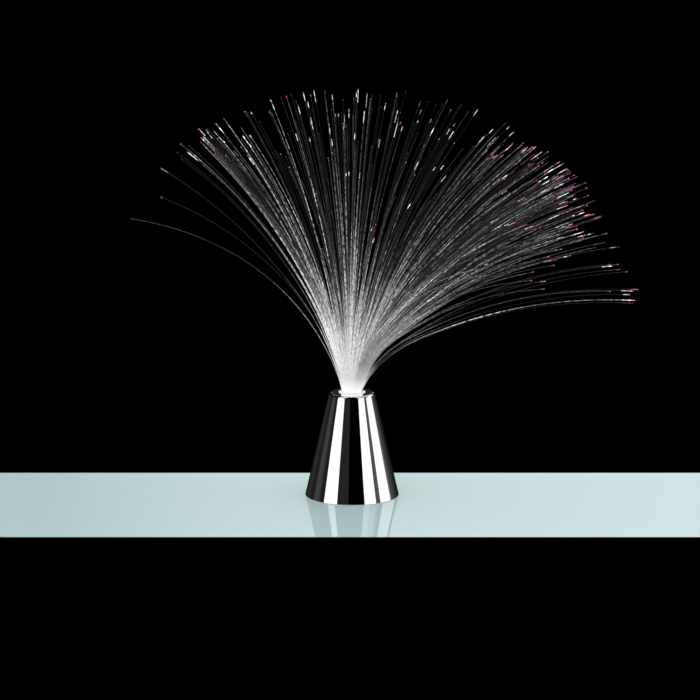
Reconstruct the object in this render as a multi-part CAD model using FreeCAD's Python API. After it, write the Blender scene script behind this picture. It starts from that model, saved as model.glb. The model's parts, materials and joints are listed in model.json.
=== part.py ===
"""Battery fibre optic lamp: a mirror-bright cone that holds a lift-out spray of light-carrying strands.

Millimetres, +Z up. The origin is the middle of the base on the surface that the lamp stands on.
The strands leave the neck along +Z and the spray leans towards +X. The battery door is underneath.
"""

import FreeCAD, Part
import math
import os
import random

# --- Housing: a thin-walled cone, open below ---------------------------------------------------
CONE_BOTTOM_RADIUS = 39.0
CONE_TOP_RADIUS = 19.3  # where the slope would meet the flat top, before its edge is rounded
HOUSING_RIM_Z = 0.3
HOUSING_TOP_Z = 87.5
HOUSING_WALL = 1.85
HOUSING_TOP_THICKNESS = 2.2
SHOULDER_RADIUS = 1.6
SHOULDER_BANDS = 2  # narrow cones that make the rounded shoulder
HIDDEN_SIDES = 36  # flats round the housing's hidden inside, the plate and the foot

# --- Base plate, foot and the screws that hold them --------------------------------------------
PLATE_BOTTOM_Z = 2.2
PLATE_THICKNESS = 2.6
PLATE_EDGE_CLEARANCE = 0.25
FOOT_WIDTH = 2.4
FOOT_EDGE_MARGIN = 0.6
FOOT_GROOVE_DEPTH = 0.6
BOSS_RADIUS = 2.6
BOSS_MARGIN = 0.4  # from a screw's recess to the foot
BOSS_HEIGHT = 15.0
BOSS_WEB_THICKNESS = 1.2
BOSS_ANGLES_DEG = (90.0, 210.0, 330.0)
CASE_SCREW_RADIUS = 1.2
CASE_SCREW_LENGTH = 9.0
SCREW_HEAD_RATIO = 1.8  # head radius over shank radius, for every pan-head screw
SCREW_HEAD_HEIGHT = 1.1
SCREW_HOLE_CLEARANCE = 0.2
SCREW_SIDES = 12
RECESS_DEPTH = 1.3

# --- Battery compartment and its door ----------------------------------------------------------
CELL_RADIUS = 5.25
CELL_LENGTH = 44.5
CELL_NUB_RADIUS = 1.9
CELL_NUB_HEIGHT = 1.0
CELL_GAP = 0.4
CELL_COUNT = 3
CELL_SIDES = 16
TRAY_SIDE_CLEARANCE = 0.35
TRAY_WALL = 1.4
TRAY_ROOF = 1.5
CONTACT_THICKNESS = 0.4
CONTACT_WIDTH = 8.6
CONTACT_DIMPLE_HEIGHT = 0.7
CONTACT_DIMPLE_RADIUS = 2.3
CONTACT_DIMPLE_TIP_RADIUS = 1.3
CONTACT_TAB_WIDTH = 2.4
CONTACT_TAB_HEIGHT = 2.3  # how far a solder tab stands above the tray's roof
SPRING_LENGTH = 3.0
SPRING_WIDE_RADIUS = 3.4
SPRING_NARROW_RADIUS = 2.0
SPRING_WIRE_RADIUS = 0.3
SPRING_TURNS = 3
SPRING_STEPS = 7  # straight runs in a turn
SPRING_SIDES = 4
DOOR_THICKNESS = 1.8
DOOR_GAP = 0.3
DOOR_LEDGE = 0.9  # how far the door laps over the tray's walls
DOOR_PIN_RADIUS = 0.6
DOOR_PIN_LENGTH = 1.6
DOOR_PIN_CLEARANCE = 0.08
DOOR_PIN_SNAP = 0.1  # the snap-in slot is this much narrower than the pin, each side
DOOR_TAB_RADIUS = 3.0
DOOR_SCREW_RADIUS = 1.0
DOOR_SCREW_LENGTH = 5.0
DOOR_SCREW_SWING = 0.4  # room round the captive screw, so that it swings out with the door
DOOR_GRIP_COUNT = 4
DOOR_GRIP_PITCH = 2.0
DOOR_GRIP_WIDTH = 0.9
DOOR_GRIP_DEPTH = 0.4
DOOR_GRIP_LENGTH = 12.0

# --- Slide switch, on the inside of the base plate ---------------------------------------------
SWITCH_WIDTH = 4.4
SWITCH_LENGTH = 8.8
SWITCH_HEIGHT = 3.6
SWITCH_TRAVEL = 2.0
SWITCH_RIB = 1.0
KNOB_WIDTH = 1.6
KNOB_LENGTH = 2.0
KNOB_CLEARANCE = 0.3
KNOB_GROOVE = 0.4  # width and depth of its two grip grooves, and the ridge between them
KNOB_STEM_HEIGHT = 2.0  # how far the stem reaches into the switch body
KNOB_PROUD = 0.9  # how far the knob stands out of the plate, short of the table
TERMINAL_SIZE = 0.8
TERMINAL_HEIGHT = 2.4
TERMINAL_PITCH = 2.5
TERMINAL_COUNT = 3

# --- Neck: socket, light ring and the ferrule of the spray -------------------------------------
RING_FLANGE_RADIUS = 11.2
RING_FLANGE_HEIGHT = 1.0
RING_FLANGE_CHAMFER = 0.3
RING_WALL = 1.2
RING_TUBE_LENGTH = 19.7
RUNNING_CLEARANCE = 0.08
FERRULE_WALL = 0.6
BUNDLE_RADIUS = 8.3
FERRULE_SUNK = 0.2  # the ferrule ends this far below the flange's top
BUNDLE_SIDES = 24
SOCKET_WALL = 1.8
SOCKET_EDGE_CLEARANCE = 0.6  # from the flange to the cone's inner wall
SOCKET_FLANGE_THICKNESS = 2.0
SOCKET_SIDES = 24
SOCKET_LEDGE_GAP = 0.3  # the ring and the ferrule end this far above the ledge
SOCKET_LEDGE_THICKNESS = 2.0
SOCKET_LEDGE_WIDTH = 1.8
SOCKET_SKIRT_LENGTH = 4.0
POST_RADIUS = 2.3
POST_EDGE_MARGIN = 0.1  # from a post to the flange's edge
POST_ANGLES_DEG = (90.0, 270.0)
POST_WEB_THICKNESS = 1.6

# --- Light engine ------------------------------------------------------------------------------
BOARD_EDGE_MARGIN = 3.8  # from the posts' centres to the board's edge
BOARD_THICKNESS = 1.6
BOARD_DROP = 4.0  # from the socket's skirt down to the board's top
BOARD_SCREW_RADIUS = 1.0
BOARD_SCREW_LENGTH = 6.0
LED_COUNT = 3
LED_CIRCLE_RADIUS = 4.4
LED_RADIUS = 2.5
LED_FLANGE_RADIUS = 2.9
LED_FLANGE_HEIGHT = 1.0
LED_HEIGHT = 7.8
LED_SIDES = 10
LED_DOME_ANGLES_DEG = (0, 30, 60, 80)
REFLECTOR_WALL = 1.0
REFLECTOR_CLEARANCE = 0.3
CHIP_SIZE = (5.0, 4.0, 1.6)
RESISTOR_SIZE = (3.2, 1.6, 0.8)
RESISTOR_COUNT = 3
RESISTOR_PITCH = 3.0

# --- Wires -------------------------------------------------------------------------------------
WIRE_RADIUS = 0.6
WIRE_BOARD_RADIUS = 12.0
WIRE_RISE = 9.0
WIRE_SIDES = 6
WIRE_BEND_STEPS = 3
WIRE_BEND_SHARE = 0.45  # of the shorter run beside it that a bend takes up
SWITCH_WIRE_ANGLE_DEG = 0.0  # where each wire meets the board
BATTERY_WIRE_ANGLE_DEG = 225.0

# --- Spray of strands --------------------------------------------------------------------------
STRAND_COUNT = 120
STRAND_RADIUS = 0.38
STRAND_SIDES = 4
STRAND_LENGTH = 253.0
STRAND_MIN_GAP = 0.06
STRAND_ATTEMPTS = 30  # tries at a clear place for each strand
STRAND_ROOT_MARGIN = 0.5  # outermost strand to the edge of the bundle
STRAND_GROUPS = 8
STRAND_SEED = 3
SPRAY_LEAN_DEG = 13.0  # mean lean of the spray towards +X
SPRAY_SPREAD_DEG = 49.0  # half angle of the spray about its lean
JITTER_DEG = 3.5
ROOT_TILT_SHARE = 0.33  # tilt at the neck, as a share of the strand's mean tilt
BEND_POWER = 2.2  # how much of its bend an upright strand makes low down
BEND_POWER_PER_DEG = 0.022  # strands that lean towards +X bend lower down than those that lean away
RUN_TURN_DEG = 14.0  # one straight run stands for this much bend
RUN_STEPS = 8  # short steps that add up to a run
SHORT_STRAND_SHARE = 0.12  # this many of the strands are cut short, by up to the share below
SHORT_BY_SHARE = 0.12
UNEVEN_BY_SHARE = 0.02
CLINGS = (  # strands cling together about these tilts towards +X: centre, width, pull
    (-31.0, 15.0, 0.65),
    (-3.0, 9.0, 0.4),
    (43.0, 19.0, 0.45),
)
STRAYS = (  # mean tilts, towards +X and +Y, of the strands that hang outside the main fan
    (-44.0, -20.0),
    (-41.0, -22.0),
    (70.0, -2.0),
    (64.0, 3.0),
    (68.0, 7.0),
    (66.0, -8.0),
    (60.0, 14.0),
    (62.0, -14.0),
)
STRAY_ROOTS_SHARE = 0.25  # strays take their roots from this outermost share of the strands

UP = FreeCAD.Vector(0, 0, 1)
CENTRE = FreeCAD.Vector(0, 0, 0)

# --- Sizes that follow from the ones above -----------------------------------------------------
CONE_SLOPE = (CONE_BOTTOM_RADIUS - CONE_TOP_RADIUS) / (HOUSING_TOP_Z - HOUSING_RIM_Z)
PLATE_TOP_Z = PLATE_BOTTOM_Z + PLATE_THICKNESS
SOCKET_TOP_Z = HOUSING_TOP_Z - HOUSING_TOP_THICKNESS

FERRULE_RADIUS = BUNDLE_RADIUS + FERRULE_WALL
RING_BORE_RADIUS = FERRULE_RADIUS + RUNNING_CLEARANCE
RING_TUBE_RADIUS = RING_BORE_RADIUS + RING_WALL
NECK_HOLE_RADIUS = RING_TUBE_RADIUS + RUNNING_CLEARANCE
RING_TOP_Z = HOUSING_TOP_Z + RING_FLANGE_HEIGHT
RING_BOTTOM_Z = HOUSING_TOP_Z - RING_TUBE_LENGTH
FERRULE_TOP_Z = RING_TOP_Z - FERRULE_SUNK
SOCKET_LEDGE_Z = RING_BOTTOM_Z - SOCKET_LEDGE_GAP - SOCKET_LEDGE_THICKNESS
SOCKET_BOTTOM_Z = SOCKET_LEDGE_Z - SOCKET_SKIRT_LENGTH
SOCKET_RADIUS = NECK_HOLE_RADIUS + SOCKET_WALL
BOARD_TOP_Z = SOCKET_BOTTOM_Z - BOARD_DROP
BOARD_BOTTOM_Z = BOARD_TOP_Z - BOARD_THICKNESS

CELL_PITCH = 2 * CELL_RADIUS + CELL_GAP
TRAY_HALF_WIDTH = (CELL_COUNT - 1) / 2 * CELL_PITCH + CELL_RADIUS + TRAY_SIDE_CLEARANCE
TRAY_HALF_LENGTH = (CELL_LENGTH + SPRING_LENGTH + CONTACT_DIMPLE_HEIGHT) / 2 + CONTACT_THICKNESS
DOOR_TOP_Z = PLATE_BOTTOM_Z + DOOR_THICKNESS
CELL_AXIS_Z = DOOR_TOP_Z + CELL_GAP + CELL_RADIUS
TRAY_CEILING_Z = CELL_AXIS_Z + CELL_RADIUS + CELL_GAP
TRAY_ROOF_Z = TRAY_CEILING_Z + TRAY_ROOF
DOOR_HALF_WIDTH = TRAY_HALF_WIDTH + DOOR_LEDGE
DOOR_HALF_LENGTH = TRAY_HALF_LENGTH + DOOR_LEDGE
HINGE_Y = DOOR_HALF_LENGTH - DOOR_THICKNESS / 2
HINGE_Z = PLATE_BOTTOM_Z + DOOR_THICKNESS / 2
DOOR_BOSS_RADIUS = DOOR_SCREW_RADIUS + DOOR_SCREW_SWING + TRAY_WALL
DOOR_SCREW_Y = -(TRAY_HALF_LENGTH + TRAY_WALL + DOOR_BOSS_RADIUS - DOOR_GAP)


def cone_radius(z):
    """Outer radius of the housing at a height."""
    return CONE_BOTTOM_RADIUS - CONE_SLOPE * (z - HOUSING_RIM_Z)


def cone_inner_radius(z):
    """Radius of the housing's inner wall at a height."""
    return cone_radius(z) - HOUSING_WALL * math.hypot(1, CONE_SLOPE)


def socket_flange_radius():
    """Radius of the socket's flange, just inside the cone's wall."""
    return cone_inner_radius(SOCKET_TOP_Z) - SOCKET_EDGE_CLEARANCE


def post_centre_radius():
    """How far from the axis the socket's posts stand, at the edge of its flange."""
    return socket_flange_radius() - POST_EDGE_MARGIN - POST_RADIUS


def foot_radii():
    """Inner and outer radius of the ring-shaped foot."""
    outer = cone_inner_radius(PLATE_BOTTOM_Z) - PLATE_EDGE_CLEARANCE - FOOT_EDGE_MARGIN
    return outer - FOOT_WIDTH, outer


def polar(radius, angle_deg, z=0.0):
    """A point at a radius and angle about the lamp's axis."""
    angle = math.radians(angle_deg)
    return FreeCAD.Vector(radius * math.cos(angle), radius * math.sin(angle), z)


def cylinder(radius, bottom_z, top_z, centre=CENTRE):
    """An upright cylinder between two heights."""
    base = FreeCAD.Vector(centre.x, centre.y, bottom_z)
    return Part.makeCylinder(radius, top_z - bottom_z, base, UP)


def box(x_range, y_range, z_range):
    """A box between two corners."""
    corner = FreeCAD.Vector(x_range[0], y_range[0], z_range[0])
    size = [high - low for low, high in (x_range, y_range, z_range)]
    return Part.makeBox(*size, corner)


def centred_box(centre_x, centre_y, size_x, size_y, z_range):
    """A box between two heights, about a vertical line."""
    x_range = (centre_x - size_x / 2, centre_x + size_x / 2)
    y_range = (centre_y - size_y / 2, centre_y + size_y / 2)
    return box(x_range, y_range, z_range)


def revolved(profile):
    """A solid of revolution about the lamp's axis, from (radius, z) points."""
    points = [FreeCAD.Vector(radius, 0, z) for radius, z in profile]
    face = Part.Face(Part.makePolygon(points + points[:1]))
    return face.revolve(CENTRE, UP, 360)


def polygon_solid(rings):
    """A closed solid with flat sides between matching rings of points, and its two ends."""
    faces = [Part.Face(Part.makePolygon(ring + ring[:1])) for ring in (rings[0], rings[-1])]
    for ring, following in zip(rings, rings[1:]):
        for side in range(len(ring)):
            after = (side + 1) % len(ring)
            corners = [ring[side], ring[after], following[after], following[side]]
            faces.append(Part.Face(Part.makePolygon(corners + corners[:1])))
    solid = Part.Solid(Part.makeShell(faces))
    if solid.Volume < 0:
        solid.reverse()
    return solid


def faceted(profile, sides, centre=CENTRE):
    """Like a solid of revolution about an upright line, with flat sides, from (radius, z) points."""
    rings = []
    for radius, z in profile:
        corners = [polar(radius, 360 * side / sides, z) + centre for side in range(sides)]
        rings.append(corners)
    return polygon_solid(rings)


def faceted_disc(radius, bottom_z, top_z, sides, centre=CENTRE):
    """An upright prism between two heights."""
    return faceted([(radius, bottom_z), (radius, top_z)], sides, centre)


def faceted_tube(outer_radius, inner_radius, bottom_z, top_z, sides):
    """An upright tube with flat sides on the lamp's axis."""
    outside = faceted_disc(outer_radius, bottom_z, top_z, sides)
    return outside.cut(faceted_disc(inner_radius, bottom_z, top_z, sides))


def screw(radius, length, head_bottom_z, centre):
    """A pan-head screw that points up, its head at the bottom."""
    head_radius = radius * SCREW_HEAD_RATIO
    shank_z = head_bottom_z + SCREW_HEAD_HEIGHT
    profile = [
        (head_radius, head_bottom_z),
        (head_radius, shank_z),
        (radius, shank_z),
        (radius, shank_z + length),
    ]
    return faceted(profile, SCREW_SIDES, FreeCAD.Vector(centre.x, centre.y, 0))


def screw_hole(radius, bottom_z, top_z, centre):
    """A hole for a screw's shank or head, with the screw's own number of sides."""
    return faceted_disc(radius, bottom_z, top_z, SCREW_SIDES, FreeCAD.Vector(centre.x, centre.y, 0))


def mitred_rod(points, radius, sides, first_normal=None):
    """A rod of regular section along straight runs that meet in mitres, so all its faces are flat.

    first_normal is the normal of the plane that cuts the rod's start, when that isn't square.
    """
    runs = [(after - before).normalize() for before, after in zip(points, points[1:])]
    helper = UP if abs(runs[0].z) < 0.9 else FreeCAD.Vector(1, 0, 0)
    across = runs[0].cross(helper).normalize()
    beside = runs[0].cross(across)
    ring = []
    for side in range(sides):
        turn = 2 * math.pi * side / sides
        ring.append(points[0] + (across * math.cos(turn) + beside * math.sin(turn)) * radius)
    normals = [first_normal or runs[0]]
    normals += [(before + after).normalize() for before, after in zip(runs, runs[1:])]
    normals.append(runs[-1])
    rings = []
    for index, (point, normal) in enumerate(zip(points, normals)):
        run = runs[max(index - 1, 0)]
        ring = [corner + run * ((point - corner).dot(normal) / run.dot(normal)) for corner in ring]
        rings.append(ring)
    return polygon_solid(rings)


def rounded_route(points):
    """Points along straight runs joined by tangent arcs, each as large as its runs allow."""
    route = [points[0]]
    for before, corner, after in zip(points, points[1:], points[2:]):
        back = before - corner
        ahead = after - corner
        setback = WIRE_BEND_SHARE * min(back.Length, ahead.Length)
        half_turn = (math.pi - back.getAngle(ahead)) / 2
        arc_radius = setback / math.tan(half_turn)
        back.normalize()
        ahead.normalize()
        centre = corner + (back + ahead).normalize() * (arc_radius / math.cos(half_turn))
        start = corner + back * setback - centre
        axis = back.cross(ahead)
        for step in range(WIRE_BEND_STEPS + 1):
            turn = -2 * half_turn * step / WIRE_BEND_STEPS
            route.append(centre + FreeCAD.Rotation(axis, math.degrees(turn)).multVec(start))
    return route + [points[-1]]


def wire_along(points):
    """A wire that follows a route, square to the flat faces that it starts and ends on."""
    return mitred_rod(rounded_route(points), WIRE_RADIUS, WIRE_SIDES)


# --- Housing and base --------------------------------------------------------------------------
def shoulder_profile():
    """Points round the shoulder's arc, from the sloping side to the flat top."""
    slope_angle = math.atan(CONE_SLOPE)
    turn = math.pi / 2 - slope_angle
    setback = SHOULDER_RADIUS * math.tan(turn / 2)
    centre_r = CONE_TOP_RADIUS - setback
    centre_z = HOUSING_TOP_Z - SHOULDER_RADIUS
    angles = [slope_angle + turn * band / SHOULDER_BANDS for band in range(SHOULDER_BANDS + 1)]
    return [
        (centre_r + SHOULDER_RADIUS * math.cos(a), centre_z + SHOULDER_RADIUS * math.sin(a))
        for a in angles
    ]


def cone_housing():
    """The plated cone, with its neck hole and the three bosses that take the base plate's screws."""
    outline = [(0, HOUSING_RIM_Z), (CONE_BOTTOM_RADIUS, HOUSING_RIM_Z)] + shoulder_profile()
    body = revolved(outline + [(0, HOUSING_TOP_Z)])
    rim_radius = cone_inner_radius(HOUSING_RIM_Z)
    inside = [(rim_radius, HOUSING_RIM_Z), (cone_inner_radius(SOCKET_TOP_Z), SOCKET_TOP_Z)]
    hollow = faceted(inside, HIDDEN_SIDES)
    shell = body.cut(hollow).cut(cylinder(NECK_HOLE_RADIUS, SOCKET_TOP_Z, HOUSING_TOP_Z))
    boss_top = PLATE_TOP_Z + BOSS_HEIGHT
    bosses = []
    for angle, centre in zip(BOSS_ANGLES_DEG, case_screw_centres()):
        boss = faceted_disc(BOSS_RADIUS, PLATE_TOP_Z, boss_top, SCREW_SIDES, centre)
        web = box(
            (centre.Length, rim_radius),
            (-BOSS_WEB_THICKNESS / 2, BOSS_WEB_THICKNESS / 2),
            (PLATE_TOP_Z, boss_top),
        )
        web.rotate(CENTRE, UP, angle)
        pilot = screw_hole(CASE_SCREW_RADIUS, PLATE_TOP_Z, PLATE_TOP_Z + CASE_SCREW_LENGTH, centre)
        bosses.append(boss.fuse(web).common(hollow).cut(pilot))
    return shell.fuse(bosses).removeSplitter()


def tray_box(half_width, half_length, z_range):
    """A box of the battery compartment's plan between two heights."""
    return centred_box(0, 0, 2 * half_width, 2 * half_length, z_range)


def door_plan(clearance, z_range):
    """The battery door's plan, with its screw tab, grown by a clearance."""
    panel = tray_box(DOOR_HALF_WIDTH + clearance, DOOR_HALF_LENGTH + clearance, z_range)
    radius = DOOR_TAB_RADIUS + clearance
    end = cylinder(radius, *z_range, FreeCAD.Vector(0, DOOR_SCREW_Y, 0))
    neck = box((-radius, radius), (DOOR_SCREW_Y, 0), z_range)
    return panel.fuse([end, neck])


def boss_centre_radius():
    """How far from the axis the base plate's screws stand, just inside the foot."""
    head_recess = CASE_SCREW_RADIUS * SCREW_HEAD_RATIO + SCREW_HOLE_CLEARANCE
    return foot_radii()[0] - BOSS_MARGIN - head_recess


def case_screw_centres():
    """Where the base plate's screws stand."""
    return [polar(boss_centre_radius(), angle) for angle in BOSS_ANGLES_DEG]


def switch_x():
    """The switch stands midway between the battery tray and the foot."""
    return (TRAY_HALF_WIDTH + TRAY_WALL + foot_radii()[0]) / 2


def contact_tabs():
    """Where the two solder tabs leave the tray: (x, y) at the +Y end and at the -Y end."""
    last_x = (CELL_COUNT - 1) / 2 * CELL_PITCH
    end_y = TRAY_HALF_LENGTH - CONTACT_THICKNESS / 2
    return (last_x, end_y), (-last_x, -end_y)


def base_plate():
    """The moulded plate that closes the cone, with the battery tray and the switch's seat."""
    bottom_radius = cone_inner_radius(PLATE_BOTTOM_Z) - PLATE_EDGE_CLEARANCE
    top_radius = cone_inner_radius(PLATE_TOP_Z) - PLATE_EDGE_CLEARANCE
    disc = faceted([(bottom_radius, PLATE_BOTTOM_Z), (top_radius, PLATE_TOP_Z)], HIDDEN_SIDES)
    tray = tray_box(
        TRAY_HALF_WIDTH + TRAY_WALL, TRAY_HALF_LENGTH + TRAY_WALL, (PLATE_BOTTOM_Z, TRAY_ROOF_Z)
    )
    screw_place = FreeCAD.Vector(0, DOOR_SCREW_Y, 0)
    door_boss_top = DOOR_TOP_Z + DOOR_SCREW_LENGTH + TRAY_ROOF
    door_boss = cylinder(DOOR_BOSS_RADIUS, PLATE_TOP_Z, door_boss_top, screw_place)
    rib_height = (PLATE_TOP_Z, PLATE_TOP_Z + SWITCH_HEIGHT / 2)
    rib_y = (SWITCH_LENGTH + SWITCH_RIB) / 2
    ribs = [centred_box(switch_x(), y, SWITCH_WIDTH, SWITCH_RIB, rib_height) for y in (-rib_y, rib_y)]
    plate = disc.fuse([tray, door_boss] + ribs)

    inner, outer = foot_radii()
    cuts = [
        tray_box(TRAY_HALF_WIDTH, TRAY_HALF_LENGTH, (PLATE_BOTTOM_Z, TRAY_CEILING_Z)),
        door_plan(DOOR_GAP, (PLATE_BOTTOM_Z, DOOR_TOP_Z + DOOR_GAP)),
        screw_hole(
            DOOR_SCREW_RADIUS + DOOR_SCREW_SWING,
            PLATE_BOTTOM_Z,
            DOOR_TOP_Z + DOOR_SCREW_LENGTH,
            screw_place,
        ),
        faceted_tube(
            outer, inner, PLATE_BOTTOM_Z, PLATE_BOTTOM_Z + FOOT_GROOVE_DEPTH, HIDDEN_SIDES
        ),
        switch_slot(),
    ]
    cuts += hinge_seats()
    for centre in case_screw_centres():
        head_radius = CASE_SCREW_RADIUS * SCREW_HEAD_RATIO + SCREW_HOLE_CLEARANCE
        cuts.append(screw_hole(head_radius, PLATE_BOTTOM_Z, PLATE_BOTTOM_Z + RECESS_DEPTH, centre))
        hole_radius = CASE_SCREW_RADIUS + SCREW_HOLE_CLEARANCE
        cuts.append(screw_hole(hole_radius, PLATE_BOTTOM_Z, PLATE_TOP_Z, centre))
    for x, y in contact_tabs():
        slot_width = CONTACT_TAB_WIDTH + 2 * SCREW_HOLE_CLEARANCE
        cuts.append(
            centred_box(x, y, slot_width, CONTACT_THICKNESS, (TRAY_CEILING_Z, TRAY_ROOF_Z))
        )
    return plate.cut(cuts).removeSplitter()


def switch_slot():
    """The slot in the base plate that the switch's knob slides in."""
    width = KNOB_WIDTH + 2 * KNOB_CLEARANCE
    length = KNOB_LENGTH + SWITCH_TRAVEL + 2 * KNOB_CLEARANCE
    return centred_box(switch_x(), 0, width, length, (PLATE_BOTTOM_Z, PLATE_TOP_Z))


def hinge_seats():
    """The two holes for the door's pins, each with the narrower slot that a pin snaps in through."""
    seats = []
    inner_x = DOOR_HALF_WIDTH + DOOR_GAP
    outer_x = DOOR_HALF_WIDTH + DOOR_PIN_LENGTH + DOOR_GAP
    half_slot = DOOR_PIN_RADIUS - DOOR_PIN_SNAP
    for side in (-1, 1):
        start = FreeCAD.Vector(side * inner_x, HINGE_Y, HINGE_Z)
        direction = FreeCAD.Vector(side, 0, 0)
        radius = DOOR_PIN_RADIUS + DOOR_PIN_CLEARANCE
        seats.append(Part.makeCylinder(radius, outer_x - inner_x, start, direction))
        x_range = sorted((side * inner_x, side * outer_x))
        seats.append(box(x_range, (HINGE_Y - half_slot, HINGE_Y + half_slot), (PLATE_BOTTOM_Z, HINGE_Z)))
    return seats


def foot_ring():
    """The soft ring that the lamp stands on, seated in the base plate's groove."""
    inner, outer = foot_radii()
    return faceted_tube(outer, inner, 0, PLATE_BOTTOM_Z + FOOT_GROOVE_DEPTH, HIDDEN_SIDES)


def base_plate_screws():
    """The three screws that hold the base plate to the cone's bosses."""
    head_z = PLATE_BOTTOM_Z + RECESS_DEPTH - SCREW_HEAD_HEIGHT
    length = PLATE_TOP_Z + CASE_SCREW_LENGTH - head_z - SCREW_HEAD_HEIGHT
    screws = [screw(CASE_SCREW_RADIUS, length, head_z, centre) for centre in case_screw_centres()]
    return Part.makeCompound(screws)


# --- Battery compartment -----------------------------------------------------------------------
def battery_door():
    """The flush door: a rounded hinge edge with two pins, grip grooves and a tab for its screw."""
    z_range = (PLATE_BOTTOM_Z, DOOR_TOP_Z)
    door = door_plan(0, z_range)
    past_hinge = box((-DOOR_HALF_WIDTH, DOOR_HALF_WIDTH), (HINGE_Y, DOOR_HALF_LENGTH), z_range)
    start = FreeCAD.Vector(-DOOR_HALF_WIDTH, HINGE_Y, HINGE_Z)
    along_x = FreeCAD.Vector(1, 0, 0)
    edge = Part.makeCylinder(DOOR_THICKNESS / 2, 2 * DOOR_HALF_WIDTH, start, along_x)
    pin_start = start - along_x * DOOR_PIN_LENGTH
    pins = Part.makeCylinder(
        DOOR_PIN_RADIUS, 2 * (DOOR_HALF_WIDTH + DOOR_PIN_LENGTH), pin_start, along_x
    )
    door = door.cut(past_hinge).fuse([edge, pins])
    place = FreeCAD.Vector(0, DOOR_SCREW_Y, 0)
    head_radius = DOOR_SCREW_RADIUS * SCREW_HEAD_RATIO + SCREW_HOLE_CLEARANCE
    hole_radius = DOOR_SCREW_RADIUS + SCREW_HOLE_CLEARANCE
    cuts = [
        screw_hole(head_radius, PLATE_BOTTOM_Z, PLATE_BOTTOM_Z + SCREW_HEAD_HEIGHT, place),
        screw_hole(hole_radius, PLATE_BOTTOM_Z, DOOR_TOP_Z, place),
    ]
    first_grip_y = -DOOR_HALF_LENGTH + 2 * DOOR_GRIP_PITCH
    for index in range(DOOR_GRIP_COUNT):
        y = first_grip_y + index * DOOR_GRIP_PITCH
        depth = (PLATE_BOTTOM_Z, PLATE_BOTTOM_Z + DOOR_GRIP_DEPTH)
        cuts.append(centred_box(0, y, DOOR_GRIP_LENGTH, DOOR_GRIP_WIDTH, depth))
    return door.cut(cuts).removeSplitter()


def battery_door_screw():
    """The door's captive screw: it stays in the door when that swings open."""
    return screw(
        DOOR_SCREW_RADIUS, DOOR_SCREW_LENGTH, PLATE_BOTTOM_Z, FreeCAD.Vector(0, DOOR_SCREW_Y, 0)
    )


def cell_direction(index):
    """+1 where the cell's nub points to +Y, -1 where it points to -Y: the cells alternate."""
    return -1 if index % 2 else 1


def cell_x(index):
    """The cell's place across the tray, counted from +X."""
    return ((CELL_COUNT - 1) / 2 - index) * CELL_PITCH


def battery_cell(index):
    """One cell: its can, a nub at the positive end and a small rounding at both ends."""
    rounding = CELL_GAP
    can_length = CELL_LENGTH - CELL_NUB_HEIGHT
    profile = [
        (CELL_RADIUS - rounding, 0),
        (CELL_RADIUS, rounding),
        (CELL_RADIUS, can_length - rounding),
        (CELL_RADIUS - rounding, can_length),
        (CELL_NUB_RADIUS, can_length),
        (CELL_NUB_RADIUS, CELL_LENGTH),
    ]
    cell = faceted(profile, CELL_SIDES)
    direction = cell_direction(index)
    cell.rotate(CENTRE, FreeCAD.Vector(1, 0, 0), -90 * direction)
    flat_end = TRAY_HALF_LENGTH - CONTACT_THICKNESS - SPRING_LENGTH
    cell.translate(FreeCAD.Vector(cell_x(index), -direction * flat_end, CELL_AXIS_Z))
    return cell


def contact_strip(indices, end, has_tab):
    """A contact strip at one end of the tray (+1 or -1 in Y) for the given cells."""
    outer_y = end * TRAY_HALF_LENGTH
    inner_y = end * (TRAY_HALF_LENGTH - CONTACT_THICKNESS)
    y_range = sorted((outer_y, inner_y))
    xs = [cell_x(index) for index in indices]
    x_range = (min(xs) - CONTACT_WIDTH / 2, max(xs) + CONTACT_WIDTH / 2)
    z_range = (CELL_AXIS_Z - CONTACT_WIDTH / 2, CELL_AXIS_Z + CONTACT_WIDTH / 2)
    strip = box(x_range, y_range, z_range)
    for index in indices:
        if cell_direction(index) == end:
            profile = [(CONTACT_DIMPLE_RADIUS, 0), (CONTACT_DIMPLE_TIP_RADIUS, CONTACT_DIMPLE_HEIGHT)]
            dimple = faceted(profile, SCREW_SIDES)
            dimple.rotate(CENTRE, FreeCAD.Vector(1, 0, 0), 90 * end)
            dimple.translate(FreeCAD.Vector(cell_x(index), inner_y, CELL_AXIS_Z))
            strip = strip.fuse(dimple)
    if has_tab:
        tab_top = TRAY_ROOF_Z + CONTACT_TAB_HEIGHT
        tab_x = (xs[0] - CONTACT_TAB_WIDTH / 2, xs[0] + CONTACT_TAB_WIDTH / 2)
        strip = strip.fuse(box(tab_x, y_range, (z_range[1], tab_top)))
    return strip.removeSplitter()


def contact_springs():
    """A conical spring at the flat end of each cell, standing on its contact strip."""
    steps = SPRING_STEPS * SPRING_TURNS
    springs = []
    for index in range(CELL_COUNT):
        end = -cell_direction(index)
        points = []
        for step in range(steps + 1):
            share = step / steps
            radius = SPRING_WIDE_RADIUS + (SPRING_NARROW_RADIUS - SPRING_WIDE_RADIUS) * share
            turn = 2 * math.pi * SPRING_TURNS * share
            height = SPRING_WIRE_RADIUS + (SPRING_LENGTH - 2 * SPRING_WIRE_RADIUS) * share
            y = end * (TRAY_HALF_LENGTH - CONTACT_THICKNESS - height)
            points.append(FreeCAD.Vector(
                cell_x(index) + radius * math.cos(turn), y, CELL_AXIS_Z + radius * math.sin(turn)
            ))
        springs.append(mitred_rod(points, SPRING_WIRE_RADIUS, SPRING_SIDES))
    return Part.makeCompound(springs)


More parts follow.
